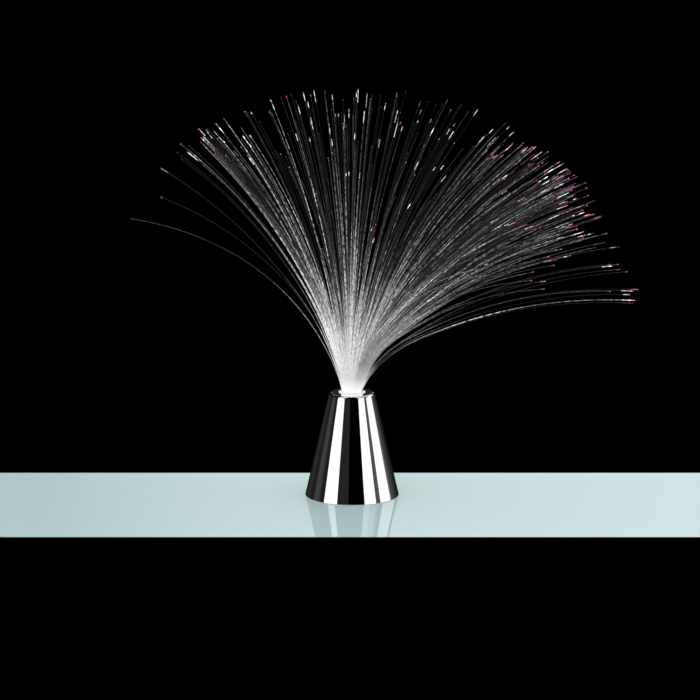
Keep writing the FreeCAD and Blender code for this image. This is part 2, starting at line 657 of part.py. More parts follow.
# --- Slide switch ------------------------------------------------------------------------------
def slide_switch_body():
    """The switch's case, hollow below for the knob's stem."""
    case = centred_box(
        switch_x(), 0, SWITCH_WIDTH, SWITCH_LENGTH, (PLATE_TOP_Z, PLATE_TOP_Z + SWITCH_HEIGHT)
    )
    pocket_top = PLATE_TOP_Z + KNOB_STEM_HEIGHT + KNOB_CLEARANCE
    pocket = centred_box(
        switch_x(),
        0,
        KNOB_WIDTH + 2 * KNOB_CLEARANCE,
        KNOB_LENGTH + SWITCH_TRAVEL + 2 * KNOB_CLEARANCE,
        (PLATE_TOP_Z, pocket_top),
    )
    return case.cut(pocket)


def switch_knob():
    """The knob and its stem, at the ON end of the slot."""
    y = SWITCH_TRAVEL / 2
    z_range = (PLATE_BOTTOM_Z - KNOB_PROUD, PLATE_TOP_Z + KNOB_STEM_HEIGHT)
    knob = centred_box(switch_x(), y, KNOB_WIDTH, KNOB_LENGTH, z_range)
    depth = (z_range[0], z_range[0] + KNOB_GROOVE)
    grooves = []
    for offset in (-KNOB_GROOVE, KNOB_GROOVE):
        grooves.append(centred_box(switch_x(), y + offset, KNOB_WIDTH, KNOB_GROOVE, depth))
    return knob.cut(grooves)


def terminal_y(index):
    """Where a switch terminal stands along the switch."""
    return (index - (TERMINAL_COUNT - 1) / 2) * TERMINAL_PITCH


def switch_terminals():
    """The three terminals on top of the switch."""
    bottom = PLATE_TOP_Z + SWITCH_HEIGHT
    pins = []
    for index in range(TERMINAL_COUNT):
        pins.append(centred_box(
            switch_x(), terminal_y(index), TERMINAL_SIZE, TERMINAL_SIZE, (bottom, bottom + TERMINAL_HEIGHT)
        ))
    return Part.makeCompound(pins)


# --- Neck --------------------------------------------------------------------------------------
def neck_ring():
    """The translucent ring that glows round the strands: a flange over the tube that guides it."""
    return revolved([
        (RING_BORE_RADIUS, RING_TOP_Z),
        (RING_BORE_RADIUS, RING_BOTTOM_Z),
        (RING_TUBE_RADIUS, RING_BOTTOM_Z),
        (RING_TUBE_RADIUS, HOUSING_TOP_Z),
        (RING_FLANGE_RADIUS, HOUSING_TOP_Z),
        (RING_FLANGE_RADIUS, RING_TOP_Z - RING_FLANGE_CHAMFER),
        (RING_FLANGE_RADIUS - RING_FLANGE_CHAMFER, RING_TOP_Z),
    ])


def ferrule():
    """The metal sleeve crimped round the bundle."""
    sleeve = cylinder(FERRULE_RADIUS, RING_BOTTOM_Z, FERRULE_TOP_Z)
    return sleeve.cut(bundle_core())


def bundle_core():
    """The potted bundle inside the ferrule, polished below where the light enters."""
    return faceted_disc(BUNDLE_RADIUS, RING_BOTTOM_Z, FERRULE_TOP_Z, BUNDLE_SIDES)


def fibre_socket():
    """The moulded socket under the cone's top: it guides the ring and carries the board's posts."""
    flange_z = SOCKET_TOP_Z - SOCKET_FLANGE_THICKNESS
    outside = faceted([
        (SOCKET_RADIUS, SOCKET_BOTTOM_Z),
        (SOCKET_RADIUS, flange_z),
        (socket_flange_radius(), flange_z),
        (socket_flange_radius(), SOCKET_TOP_Z),
    ], SOCKET_SIDES)
    pieces = []
    ledge_top = SOCKET_LEDGE_Z + SOCKET_LEDGE_THICKNESS
    ledge_bore = NECK_HOLE_RADIUS - SOCKET_LEDGE_WIDTH
    cuts = [
        cylinder(NECK_HOLE_RADIUS, ledge_top, SOCKET_TOP_Z),
        faceted_disc(ledge_bore, SOCKET_LEDGE_Z, ledge_top, SOCKET_SIDES),
        faceted_disc(NECK_HOLE_RADIUS, SOCKET_BOTTOM_Z, SOCKET_LEDGE_Z, SOCKET_SIDES),
    ]
    for centre in post_centres():
        side = math.copysign(1, centre.y)
        pieces.append(faceted_disc(POST_RADIUS, BOARD_TOP_Z, SOCKET_TOP_Z, SCREW_SIDES, centre))
        y_range = sorted((side * (NECK_HOLE_RADIUS + SOCKET_WALL / 2), side * post_centre_radius()))
        half_web = POST_WEB_THICKNESS / 2
        pieces.append(box((-half_web, half_web), y_range, (SOCKET_BOTTOM_Z, SOCKET_TOP_Z)))
        cuts.append(screw_hole(
            BOARD_SCREW_RADIUS, BOARD_TOP_Z, BOARD_TOP_Z + BOARD_SCREW_LENGTH, centre
        ))
    return outside.fuse(pieces).cut(cuts).removeSplitter()


def post_centres():
    """The socket's two posts that the board is screwed to."""
    return [polar(post_centre_radius(), angle) for angle in POST_ANGLES_DEG]


# --- Light engine ------------------------------------------------------------------------------
def led_board():
    """The round board, with its two screw holes."""
    radius = post_centre_radius() + BOARD_EDGE_MARGIN
    board = faceted_disc(radius, BOARD_BOTTOM_Z, BOARD_TOP_Z, SOCKET_SIDES)
    hole_radius = BOARD_SCREW_RADIUS + SCREW_HOLE_CLEARANCE
    holes = [screw_hole(hole_radius, BOARD_BOTTOM_Z, BOARD_TOP_Z, c) for c in post_centres()]
    return board.cut(holes)


def board_screws():
    """The two screws that hold the board to the socket's posts."""
    head_z = BOARD_BOTTOM_Z - SCREW_HEAD_HEIGHT
    length = BOARD_THICKNESS + BOARD_SCREW_LENGTH
    return Part.makeCompound([screw(BOARD_SCREW_RADIUS, length, head_z, c) for c in post_centres()])


def leds():
    """The domed LEDs under the bundle's polished end."""
    dome_z = LED_HEIGHT - LED_RADIUS
    dome = [math.radians(angle) for angle in LED_DOME_ANGLES_DEG]
    profile = [(LED_FLANGE_RADIUS, 0), (LED_FLANGE_RADIUS, LED_FLANGE_HEIGHT)]
    profile.append((LED_RADIUS, LED_FLANGE_HEIGHT))
    profile += [(LED_RADIUS * math.cos(a), dome_z + LED_RADIUS * math.sin(a)) for a in dome]
    placed = []
    for index in range(LED_COUNT):
        centre = polar(LED_CIRCLE_RADIUS, 360 * index / LED_COUNT, BOARD_TOP_Z)
        placed.append(faceted(profile, LED_SIDES, centre))
    return Part.makeCompound(placed)


def reflector_cup():
    """The white cup that keeps the LEDs' light on the bundle, between the board and the ledge."""
    outer = NECK_HOLE_RADIUS - REFLECTOR_CLEARANCE
    inner = outer - REFLECTOR_WALL
    return faceted_tube(outer, inner, BOARD_TOP_Z, SOCKET_LEDGE_Z, SOCKET_SIDES)


def controller_chip():
    """The colour controller on the board's underside."""
    width, length, height = CHIP_SIZE
    return centred_box(0, 0, width, length, (BOARD_BOTTOM_Z - height, BOARD_BOTTOM_Z))


def resistors():
    """One resistor for each LED colour, on the board's underside."""
    width, length, height = RESISTOR_SIZE
    x = -CHIP_SIZE[0] / 2 - width
    z_range = (BOARD_BOTTOM_Z - height, BOARD_BOTTOM_Z)
    placed = []
    for index in range(RESISTOR_COUNT):
        y = (index - (RESISTOR_COUNT - 1) / 2) * RESISTOR_PITCH
        placed.append(centred_box(x, y, width, length, z_range))
    return Part.makeCompound(placed)


# --- Wires -------------------------------------------------------------------------------------
def riser(start, board_angle):
    """A wire from a terminal straight up, across to its place under the board and into it."""
    end = polar(WIRE_BOARD_RADIUS, board_angle, BOARD_BOTTOM_Z)
    points = [start, start + UP * WIRE_RISE, end - UP * WIRE_RISE, end]
    return wire_along(points)


def terminal_top(index):
    """The top of a switch terminal."""
    return FreeCAD.Vector(switch_x(), terminal_y(index), PLATE_TOP_Z + SWITCH_HEIGHT + TERMINAL_HEIGHT)


def tab_top(place):
    """The top of a solder tab."""
    return FreeCAD.Vector(place[0], place[1], TRAY_ROOF_Z + CONTACT_TAB_HEIGHT)


def wire_battery_to_switch():
    """The wire from the positive solder tab over to the switch's outer terminal."""
    start = tab_top(contact_tabs()[0])
    end = terminal_top(2)
    crest_z = start.z + WIRE_RISE
    points = [
        start,
        FreeCAD.Vector(start.x, start.y, crest_z),
        FreeCAD.Vector(end.x, end.y, crest_z),
        end,
    ]
    return wire_along(points)


def wire_switch_to_board():
    """The wire from the switch's middle terminal up to the board."""
    return riser(terminal_top(1), SWITCH_WIRE_ANGLE_DEG)


def wire_battery_to_board():
    """The wire from the negative solder tab up to the board."""
    return riser(tab_top(contact_tabs()[1]), BATTERY_WIRE_ANGLE_DEG)


# --- Spray -------------------------------------------------------------------------------------
def cling(tilt):
    """Pull a tilt towards the places where strands cling together."""
    pulled = tilt
    for centre, width, pull in CLINGS:
        off = tilt - centre
        pulled -= pull * off * math.exp(-((off / width) ** 2))
    return pulled


def strand_points(root, tilt_x, tilt_y, length):
    """The corners of a strand's runs: it bends in an upright plane, an equal part of it in each run.

    The tilt grows from the neck by 1 - (1 - share of length) ** power, and comes out at its mean.
    """
    mean_tilt = math.hypot(tilt_x, tilt_y)
    sideways = FreeCAD.Vector(tilt_x / mean_tilt, tilt_y / mean_tilt, 0)
    power = BEND_POWER + BEND_POWER_PER_DEG * tilt_x
    root_tilt = math.radians(mean_tilt * ROOT_TILT_SHARE)
    turn = math.radians(mean_tilt * (1 - ROOT_TILT_SHARE)) * (power + 1) / power
    runs = max(2, math.ceil(math.degrees(turn) / RUN_TURN_DEG))
    points = [root]
    here, start = root, 0.0
    for run in range(runs):
        end = 1 - (1 - (run + 1) / runs) ** (1 / power)
        step = length * (end - start) / RUN_STEPS
        for index in range(RUN_STEPS):
            share = start + (end - start) * (index + 0.5) / RUN_STEPS
            tilt = root_tilt + turn * (1 - (1 - share) ** power)
            here = here + sideways * (step * math.sin(tilt)) + UP * (step * math.cos(tilt))
        points.append(here)
        start = end
    return points


def segment_gap(a, b, c, d):
    """The shortest distance between two straight runs, a to b and c to d."""
    along, other, between = b - a, d - c, a - c
    along2, other2, cross = along.dot(along), other.dot(other), along.dot(other)
    along_between, other_between = along.dot(between), other.dot(between)
    denominator = along2 * other2 - cross * cross
    first = 0.0
    if denominator > 1e-9:
        first = min(max((cross * other_between - along_between * other2) / denominator, 0), 1)
    second = min(max((cross * first + other_between) / other2, 0), 1)
    first = min(max((cross * second - along_between) / along2, 0), 1)
    return (between + along * first - other * second).Length


def clearance_to(points, others):
    """The shortest distance from one strand's centre line to the others'."""
    nearest = math.inf
    for other in others:
        for a, b in zip(points, points[1:]):
            for c, d in zip(other, other[1:]):
                nearest = min(nearest, segment_gap(a, b, c, d))
    return nearest


def strand_roots():
    """Where the strands leave the bundle: evenly packed, in order outwards from the middle."""
    golden_angle = math.pi * (3 - math.sqrt(5))
    root_radius = BUNDLE_RADIUS - STRAND_ROOT_MARGIN
    roots = []
    for index in range(STRAND_COUNT):
        share = math.sqrt((index + 0.5) / STRAND_COUNT)
        turn = index * golden_angle
        x, y = share * math.cos(turn), share * math.sin(turn)
        roots.append(FreeCAD.Vector(root_radius * x, root_radius * y, FERRULE_TOP_Z))
    return roots


def fan_tilts(roots):
    """Each strand's mean tilt towards +X and +Y: a leaning fan, with its clinging strands and strays."""
    root_radius = BUNDLE_RADIUS - STRAND_ROOT_MARGIN
    tilts = []
    for root in roots:
        tilt_x = SPRAY_LEAN_DEG + SPRAY_SPREAD_DEG * root.x / root_radius
        tilts.append((cling(tilt_x), SPRAY_SPREAD_DEG * root.y / root_radius))
    first_outer = int(STRAND_COUNT * (1 - STRAY_ROOTS_SHARE))
    free = set(range(first_outer, STRAND_COUNT))
    for stray_x, stray_y in STRAYS:
        chosen = max(free, key=lambda index: roots[index].x * stray_x + roots[index].y * stray_y)
        free.remove(chosen)
        tilts[chosen] = (stray_x, stray_y)
    return tilts


def spray_lines():
    """The centre line of every strand, clear of the others."""
    rng = random.Random(STRAND_SEED)
    needed = 2 * STRAND_RADIUS + STRAND_MIN_GAP
    roots = strand_roots()
    lines = []
    for root, (fan_x, fan_y) in zip(roots, fan_tilts(roots)):
        best, best_gap = None, -1
        for _ in range(STRAND_ATTEMPTS):
            tilt_x = fan_x + rng.uniform(-JITTER_DEG, JITTER_DEG)
            tilt_y = fan_y + rng.uniform(-JITTER_DEG, JITTER_DEG)
            shortened = SHORT_BY_SHARE if rng.random() < SHORT_STRAND_SHARE else UNEVEN_BY_SHARE
            length = STRAND_LENGTH * (1 - shortened * rng.random())
            points = strand_points(root, tilt_x, tilt_y, length)
            gap = clearance_to(points, lines)
            if gap > best_gap:
                best, best_gap = points, gap
            if gap >= needed:
                break
        lines.append(best)
    return lines


def strand_group(lines, group):
    """The strands of one sector of the spray."""
    strands = []
    for line in lines:
        root, tip = line[0], line[-1]
        sector = math.atan2(tip.y - root.y, tip.x - root.x) / (2 * math.pi) * STRAND_GROUPS
        if int(sector % STRAND_GROUPS) == group:
            strands.append(mitred_rod(line, STRAND_RADIUS, STRAND_SIDES, UP))
    return Part.makeCompound(strands)


# --- The part ----------------------------------------------------------------------------------
def nodes():
    """Every node of the lamp by name."""
    made = {
        "cone_housing": cone_housing(),
        "base_plate": base_plate(),
        "foot_ring": foot_ring(),
        "base_plate_screws": base_plate_screws(),
        "battery_door": battery_door(),
        "battery_door_screw": battery_door_screw(),
        "contact_strip_positive": contact_strip([0], 1, True),
        "contact_strip_negative": contact_strip([2], -1, True),
        "contact_link_front": contact_strip([0, 1], -1, False),
        "contact_link_rear": contact_strip([1, 2], 1, False),
        "contact_springs": contact_springs(),
        "slide_switch_body": slide_switch_body(),
        "switch_knob": switch_knob(),
        "switch_terminals": switch_terminals(),
        "neck_ring": neck_ring(),
        "ferrule": ferrule(),
        "bundle_core": bundle_core(),
        "fibre_socket": fibre_socket(),
        "led_board": led_board(),
        "board_screws": board_screws(),
        "leds": leds(),
        "reflector_cup": reflector_cup(),
        "controller_chip": controller_chip(),
        "resistors": resistors(),
        "wire_battery_to_switch": wire_battery_to_switch(),
        "wire_switch_to_board": wire_switch_to_board(),
        "wire_battery_to_board": wire_battery_to_board(),
    }
    for index in range(CELL_COUNT):
        made[f"battery_cell_{index + 1}"] = battery_cell(index)
    lines = spray_lines()
    for group in range(STRAND_GROUPS):
        made[f"fibre_strands_{group + 1}"] = strand_group(lines, group)
    return made


os.makedirs("parts", exist_ok=True)
for name, shape in nodes().items():
    shape.exportStep(f"parts/{name}.step")
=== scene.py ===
"""Looks of a battery fibre optic lamp: a mirror-plated cone, a glowing neck ring and a spray of lit strands.

Metres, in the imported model's frame: the lamp stands at the origin, +Z up, seen from the -Y side.
"""

import json
import math
import random

import bmesh
import bpy
from mathutils import Matrix, Vector


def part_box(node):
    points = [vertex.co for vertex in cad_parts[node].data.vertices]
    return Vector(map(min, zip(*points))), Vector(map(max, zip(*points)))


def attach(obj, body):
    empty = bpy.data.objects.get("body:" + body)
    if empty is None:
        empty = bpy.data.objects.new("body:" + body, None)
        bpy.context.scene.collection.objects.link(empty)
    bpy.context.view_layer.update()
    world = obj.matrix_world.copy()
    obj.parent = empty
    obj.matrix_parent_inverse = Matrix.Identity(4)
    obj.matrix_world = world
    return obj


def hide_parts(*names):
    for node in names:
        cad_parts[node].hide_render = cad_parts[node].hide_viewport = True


MM = 0.001

# --- Camera and stage --------------------------------------------------------------------------
CAMERA_DISTANCE = 3.0
CAMERA_ELEVATION_DEG = 11.63
CAMERA_TARGET = Vector((-1.7 * MM, 0, 123.1 * MM))
CAMERA_LENS_MM = 186.07
CAMERA_SENSOR_MM = 36.0
FLOOR_X = (-0.36, 0.36)
FLOOR_Y = (-0.142, 0.076)
FLOOR_COLOUR = (0.62, 0.82, 0.84)
FLOOR_ROUGHNESS = 0.02
FLOOR_IOR = 1.5
WORLD_LEVEL = 0.95  # plain light from all round; what mirrors and the camera see there is black

# Upright panels round the lamp, seen only in reflections; the softboxes light it as well. Each has the
# azimuths of its ends, from the viewer's side towards +X (degrees), its brightness at each end, and its
# lowest and highest point.
PANEL_DISTANCE = 1.5
PANEL_STEP_DEG = 3.0
LOW_Z = (-0.2, 0.5)  # what the cone's side mirrors
MIDDLE_Z = (0.5, 1.5)  # what it mirrors in turn for the floor's gloss
TOP_Z = (1.5, 6.0)  # what the shoulder mirrors
REAR_LOW_Z = (-0.45, 0.3)  # low, so that the floor mirrors the back strip over them
REAR_HIGH_Z = (1.0, 4.0)
SOFTBOXES = (
    ("softbox_left", -72, -37, 1.2, 1.2, LOW_Z),
    ("softbox_left_middle", -68, -48, 1.0, 1.0, MIDDLE_Z),
    ("softbox_left_top", -72, -37, 1.2, 1.2, TOP_Z),
    ("softbox_front_right", 31, 60.5, 1.2, 1.2, LOW_Z),
    ("softbox_front_right_middle", 32, 50, 0.62, 0.62, MIDDLE_Z),
    ("softbox_front_right_fold", 50, 57, 0.35, 0.35, MIDDLE_Z),
    ("softbox_front_right_edge", 57, 66, 0.5, 0.45, MIDDLE_Z),
    ("softbox_right", 73.5, 107, 1.2, 1.2, LOW_Z),
    ("softbox_right_middle", 89, 141, 1.0, 1.0, MIDDLE_Z),
    ("softbox_right_top", 31, 107, 1.2, 1.2, TOP_Z),
    ("softbox_rear_right", 141, 172, 1.0, 1.0, REAR_HIGH_Z),
)
WALLS = (
    ("wall_left_front", -86, -72, 0.014, 0.014, LOW_Z),
    ("wall_front", -37, -9, 0.016, 0.02, LOW_Z),
    ("wall_between", 60.5, 73.5, 0.07, 0.09, LOW_Z),
    ("wall_between_middle", 66, 75, 0.2, 0.15, MIDDLE_Z),
    ("wall_left_edge", -180, -150, 0.004, 0.008, REAR_LOW_Z),
    ("wall_left_far", -150, -128, 0.02, 0.028, REAR_LOW_Z),
    ("wall_left_dark", -128, -108, 0.016, 0.013, REAR_LOW_Z),
    ("wall_left_rise", -108, -98, 0.04, 0.056, REAR_LOW_Z),
    ("wall_left_fall", -98, -86, 0.056, 0.037, REAR_LOW_Z),
    ("wall_right_near", 107, 115, 0.2, 0.08, REAR_LOW_Z),
    ("wall_right_mid", 115, 130, 0.065, 0.034, REAR_LOW_Z),
    ("wall_right_far", 130, 150, 0.034, 0.008, REAR_LOW_Z),
    ("wall_right_edge", 150, 180, 0.008, 0.004, REAR_LOW_Z),
    ("wall_rear_left", -172, -120, 0.1, 0.1, REAR_HIGH_Z),
)
BEHIND_TOP_X = (-0.04, 0.04)  # a dim patch that only the cone's flat top mirrors
BEHIND_TOP_Z = (0.38, 0.47)
BEHIND_TOP_LEVEL = 0.017
GROUND_RADIUS = 1.4  # a pale ground that reflections show where they point well down
GROUND_SIDES = 192
GROUND_Z = -0.35
GROUND_LEVELS = (0.75, 0.12)  # at its middle and its edge
BACK_STRIP_DISTANCE = 12.0  # a far pale strip that only the floor mirrors
BACK_STRIP_Z = (2.84, 3.3)
BACK_STRIP_LEVELS = (  # place along X (metres) and brightness there
    (-2.4, 0.0),
    (-1.3, 0.05),
    (-0.43, 0.58),
    (0.41, 0.77),
    (1.05, 0.80),
    (2.4, 0.85),
)

# --- All shapes --------------------------------------------------------------------------------
MERGE_DISTANCE = 1e-6
SHARP_DEG = 35  # edges that turn more than this are drawn sharp
ROUNDING_STEPS = 4

# --- All materials -----------------------------------------------------------------------------
NOISE_RANGE = (0.3, 0.7)  # what a noise texture mostly gives
MOTTLE_SIZE = 12  # size of a surface's mottling, over that of its grain

# --- Cone housing ------------------------------------------------------------------------------
HOUSING_SIDES = 192
HOUSING_WALL = 1.85 * MM
HOUSING_TOP_THICKNESS = 2.2 * MM
TOP_OUTER_RADIUS = 18.95 * MM  # where the slope would meet the flat top
NECK_HOLE_RADIUS = 10.26 * MM
SHOULDER_RADIUS = 2.1 * MM
SHOULDER_STEPS = 8
RIM_ROUNDING = 0.15 * MM
EDGE_SHARE = 0.004  # extra rings this near the ends of the slope keep its reflections straight
TOP_EDGE_SHARE = 0.04  # and so does one on the flat top, next to the shoulder

# --- Neck ring ---------------------------------------------------------------------------------
RING_SIDES = 96
RING_FLANGE_HEIGHT = 1.0 * MM
RING_BORE_HEIGHT = 0.6 * MM  # its top falls from this height over its underside at the bore
RING_EDGE_HEIGHT = 0.35 * MM  # to this height at the edge
RING_ROUNDING = 0.2 * MM
RING_WALL = 1.2 * MM
FERRULE_CLEARANCE = 0.08 * MM

# --- Foot, screws, cells and springs -----------------------------------------------------------
FOOT_FIT = 0.2 * MM  # the foot's clearance in its faceted groove
FOOT_ROUNDING = 0.5 * MM
FOOT_WIDTH = 2.2 * MM
TREAD_HALF_WIDTH = 0.3 * MM  # a groove all round the middle of the foot's tread
TREAD_DEPTH = 0.3 * MM
SCREW_HEAD_RATIO = 1.8  # head radius over shank radius
SCREW_HEAD_HEIGHT = 1.1 * MM
SCREW_LAND = 0.72  # share of a head that is flat
SCREW_EDGE = 0.35  # share of a head's height in which its side is upright
SCREW_PITCH = 0.8 * MM
SCREW_FLANK = 0.3  # share of the pitch that each flank of the thread takes up
SCREW_ROOT = 0.84  # radius at the bottom of the thread, as a share of the shank's
CROSS_ARM = 0.62  # of the head's radius, as are the next two
CROSS_HALF_WIDTH = 0.17
CROSS_DEPTH = 0.34
CROSS_TAPER = 0.8  # size of the cross at that depth, as a share of its size at the top
CROSS_POINT = 1.3  # depth of its middle, as a share of the cross's depth
CROSS_ANGLES_DEG = (0, 8, 15.3, 21, 29, 37, 45, 53, 61, 69, 74.7, 82)  # in each quarter turn
CELLS = 3
CELL_SIDES = 64
CELL_ROUNDING = 0.6 * MM
CELL_NUB_RADIUS = 1.9 * MM
CELL_NUB_HEIGHT = 1.0 * MM
CELL_NUB_FOOT = 1.15  # radius at the foot of the nub's fillet, as a share of the nub's
CELL_DISH = 0.2 * MM  # how far the middle of the flat end lies back
CELL_DISH_RADII = (0.5, 0.62)  # of its bottom and its edge, as shares of the cell's
SLEEVE_EDGE_RADIUS = 4.4 * MM  # where the sleeve ends on both faces of a cell
SPRING_WIDE_RADIUS = 3.4 * MM
SPRING_NARROW_RADIUS = 2.0 * MM
SPRING_WIRE_RADIUS = 0.3 * MM
SPRING_TURNS = 3.5
SPRING_STEPS = 30  # in a turn
SPRING_SIDES = 12
SPRING_SHARP_DEG = 50

# --- Spray -------------------------------------------------------------------------------------
STRAND_GROUPS = 8
CAD_STRAND_SIDES = 4
STRAND_RADIUS = 0.27 * MM
STRAND_SIDES = 5
STRAND_RINGS = 18  # evenly along a strand; its glint and tip have their own
STRAND_SEED = 5
DIRECTION_REACH = 0.01  # share of a strand, to either side, over which its direction is taken
BUNDLE_RADIUS = 8.2 * MM
SHEAVES = (  # up to each lean towards +X (degrees): a CAD strand's companions, their spread, how much
    # more than it they bend outwards, and how brightly they glow near the neck and far from it
    (-38.0, 0, 0.0, 0.0, 0.25, 0.6),
    (-24.0, 3, 1.2, 0.0, 0.9, 4.4),
    (-12.0, 1, 1.6, 0.0, 0.8, 3.0),
    (8.0, 2, 2.2, 0.0, 0.78, 1.2),
    (28.0, 2, 2.4, 0.0, 0.66, 0.65),
    (50.0, 5, 2.5, 3.5, 0.28, 2.5),
    (64.0, 3, 2.2, 5.0, 0.05, 3.6),
    (180.0, 0, 0.0, 0.0, 0.03, 3.6),
)
ROOT = 0.026  # the distance from the neck (metres) at which the near glow is reached
FAR = 0.21  # and the far glow
COMPANION_SHIFT = 0.8 * MM  # how far a companion's root lies from its strand's
COMPANION_ROOT_TURN = 0.4  # share of its turn that a companion makes at the root
COMPANION_LONGEST = ((8.0, 1.0), (180.0, 1.035))  # share of its strand's length, up to each lean
COMPANION_SHORTER = 0.115  # the most that one falls short of that
LOOSE_SHARE = 0.15  # of the companions, which part from their strand more than the rest do
LOOSE_SPREAD = 2.5  # how many times as much
GLOW_FALL = (  # distance from the neck (metres) and the glow of an average strand there
    (0.000, 1.15),
    (0.007, 1.02),
    (0.014, 0.80),
    (0.030, 0.95),
    (0.050, 0.80),
    (0.075, 0.44),
    (0.105, 0.17),
    (0.140, 0.052),
    (0.180, 0.020),
    (0.300, 0.012),
)
GLOW_LIMIT = 0.60  # the brightest strands come near this
GLOW_ROOM = 1.2  # or near this many times the average, where that is more
GLOW_BEND = 4  # how sharply a glow bends off below its limit
LUSTRE_SPREAD = 1.7  # how unevenly the strands glow
LUSTRE_MOST = 1.5  # in standard deviations, so that no strand stands out alone
SWELL = 0.22  # how unevenly each one glows along its length
SWELL_KEPT = 0.7  # share of the swell at one ring that the next ring still has
EVEN_GLOW_REACH = 0.11  # up to this distance from the neck (metres) the glow grows more uneven
EVEN_SPARKLE_REACH = 0.12  # and up to this one the sparkle grows
SPARKLE_SCALE = 260.0  # per metre of strand
SPARKLE_RANGE = (0.15, 2.1)
RUN_START_MOST = 50.0  # each strand's sparkle starts at its own place in the pattern
GLINT_SHARE = 0.35  # of the strands, whose last stretch is bright with a painted highlight: glow that stands for a softbox's glint on it
GLINT_LENGTH = (2.5 * MM, 12.0 * MM)
GLINT_LEVEL = (0.15, 0.95)
GLINT_EDGE = 0.002  # share of a strand's length in which its glint sets in
RING_SPACE = 0.01  # share of its length that is kept clear of other rings before that
FIBRE_LIGHT = (0.97, 0.985, 1.0)
MAGENTA = (1.0, 0.08, 0.47)
MAGENTA_SHARES = ((-38.0, 0.8), (30.0, 0.22), (180.0, 0.55))  # of the tips up to each lean
TIP_TINT_AND_HALO_LENGTH = 2.5 * MM  # the end of a strand with a magenta tip that is tinted too: its own magenta light, with painted glow for the halo round the tip
PAINTED_HAZE_FROM_DEG = 30.0  # of those that lean more, the ones with neither such a tip nor a glint get a painted magenta haze
PAINTED_HAZE_LENGTH = 12.0 * MM  # over this length, which stands for the halo of the magenta tips near them
# glow that a full tint adds: painted glow for the halo round magenta tips and for the haze beside them
PAINTED_HALO_GLOW = 0.13
BEAD_RADIUS = 0.44 * MM  # a magenta tip's melted end
BEAD_LENGTH = 0.9 * MM
BEAD_RINGS = ((0.3, 1.0), (1.0, 0.8))  # shares of its length and radius at each of its rings
FIBRE_SLOT, MAGENTA_SLOT, WHITE_SLOT = range(3)  # a strand's materials: its run, and either tip
TIP_WHITE = (0.9, 0.93, 1.0)
TIP_MAGENTA_LEVEL = 0.85
TIP_WHITE_LEVEL = 0.05
COLUMN_MARGIN = 0.05  # in the texture layout, the free share of each face's column on either side
LAYOUT_MARGIN = 0.01  # and the free share of the layout's height above and below

bpy.context.scene.view_settings.view_transform = "Standard"
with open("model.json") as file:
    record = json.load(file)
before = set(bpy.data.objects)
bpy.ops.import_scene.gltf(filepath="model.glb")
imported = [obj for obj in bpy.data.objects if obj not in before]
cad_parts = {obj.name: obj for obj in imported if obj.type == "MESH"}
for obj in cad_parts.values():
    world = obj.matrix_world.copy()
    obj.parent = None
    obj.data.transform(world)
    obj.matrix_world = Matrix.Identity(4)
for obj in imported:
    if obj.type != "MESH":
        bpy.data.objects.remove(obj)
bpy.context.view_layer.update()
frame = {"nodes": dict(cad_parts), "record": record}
NODES = frame["nodes"]


# --- Meshes ------------------------------------------------------------------------------------
def link_mesh(name, vertices, faces):
    """A new smooth-shaded mesh object in the scene."""
    mesh = bpy.data.meshes.new(name)
    mesh.from_pydata(vertices, [], faces)
    mesh.update()
    for polygon in mesh.polygons:
        polygon.use_smooth = True
    piece = bpy.data.objects.new(name, mesh)
    bpy.context.scene.collection.objects.link(piece)
    return piece


def revolve(name, profile, sides, axis=Vector((0, 0, 1)), origin=Vector((0, 0, 0))):
    """A closed profile of (radius, height) points turned about an axis."""
    turn_to_axis = Vector((0, 0, 1)).rotation_difference(axis).to_matrix()
    vertices, faces = [], []
    for radius, height in profile:
        for side in range(sides):
            angle = 2 * math.pi * side / sides
            point = Vector((radius * math.cos(angle), radius * math.sin(angle), height))
            vertices.append(origin + turn_to_axis @ point)
    for row in range(len(profile)):
        after = (row + 1) % len(profile)
        faces += band(row * sides, after * sides, sides)
    piece = link_mesh(name, vertices, faces)
    weld(piece)
    return piece


def band(first, second, sides):
    """The faces between two rings of points, from the indices of their first points."""
    faces = []
    for side in range(sides):
        beside = (side + 1) % sides
        faces.append((first + side, first + beside, second + beside, second + side))
    return faces


def ring_points(centre, ahead, across, radius, sides):
    """The points of a ring round a line that runs ahead, the first of them across from the line."""
    beside = ahead.cross(across)
    angles = [2 * math.pi * side / sides for side in range(sides)]
    return [centre + (across * math.cos(angle) + beside * math.sin(angle)) * radius for angle in angles]


def square_to(ahead, across):
    """The direction nearest to across that is square to ahead."""
    return (across - ahead * across.dot(ahead)).normalized()


def weld(piece):
    """Joins points at one place, drops faces with no area, and sets faces outwards and edges sharp."""
    mesh = bmesh.new()
    mesh.from_mesh(piece.data)
    bmesh.ops.remove_doubles(mesh, verts=mesh.verts, dist=MERGE_DISTANCE)
    bmesh.ops.dissolve_degenerate(mesh, edges=mesh.edges, dist=MERGE_DISTANCE)
    bmesh.ops.recalc_face_normals(mesh, faces=mesh.faces)
    mesh.to_mesh(piece.data)
    mesh.free()
    piece.data.set_sharp_from_angle(angle=math.radians(SHARP_DEG))


def arc(centre_r, centre_z, radius, from_deg, to_deg, steps=ROUNDING_STEPS):
    """(radius, height) points along an arc of a profile."""
    points = []
    for step in range(steps + 1):
        angle = math.radians(from_deg + (to_deg - from_deg) * step / steps)
        points.append((centre_r + radius * math.cos(angle), centre_z + radius * math.sin(angle)))
    return points


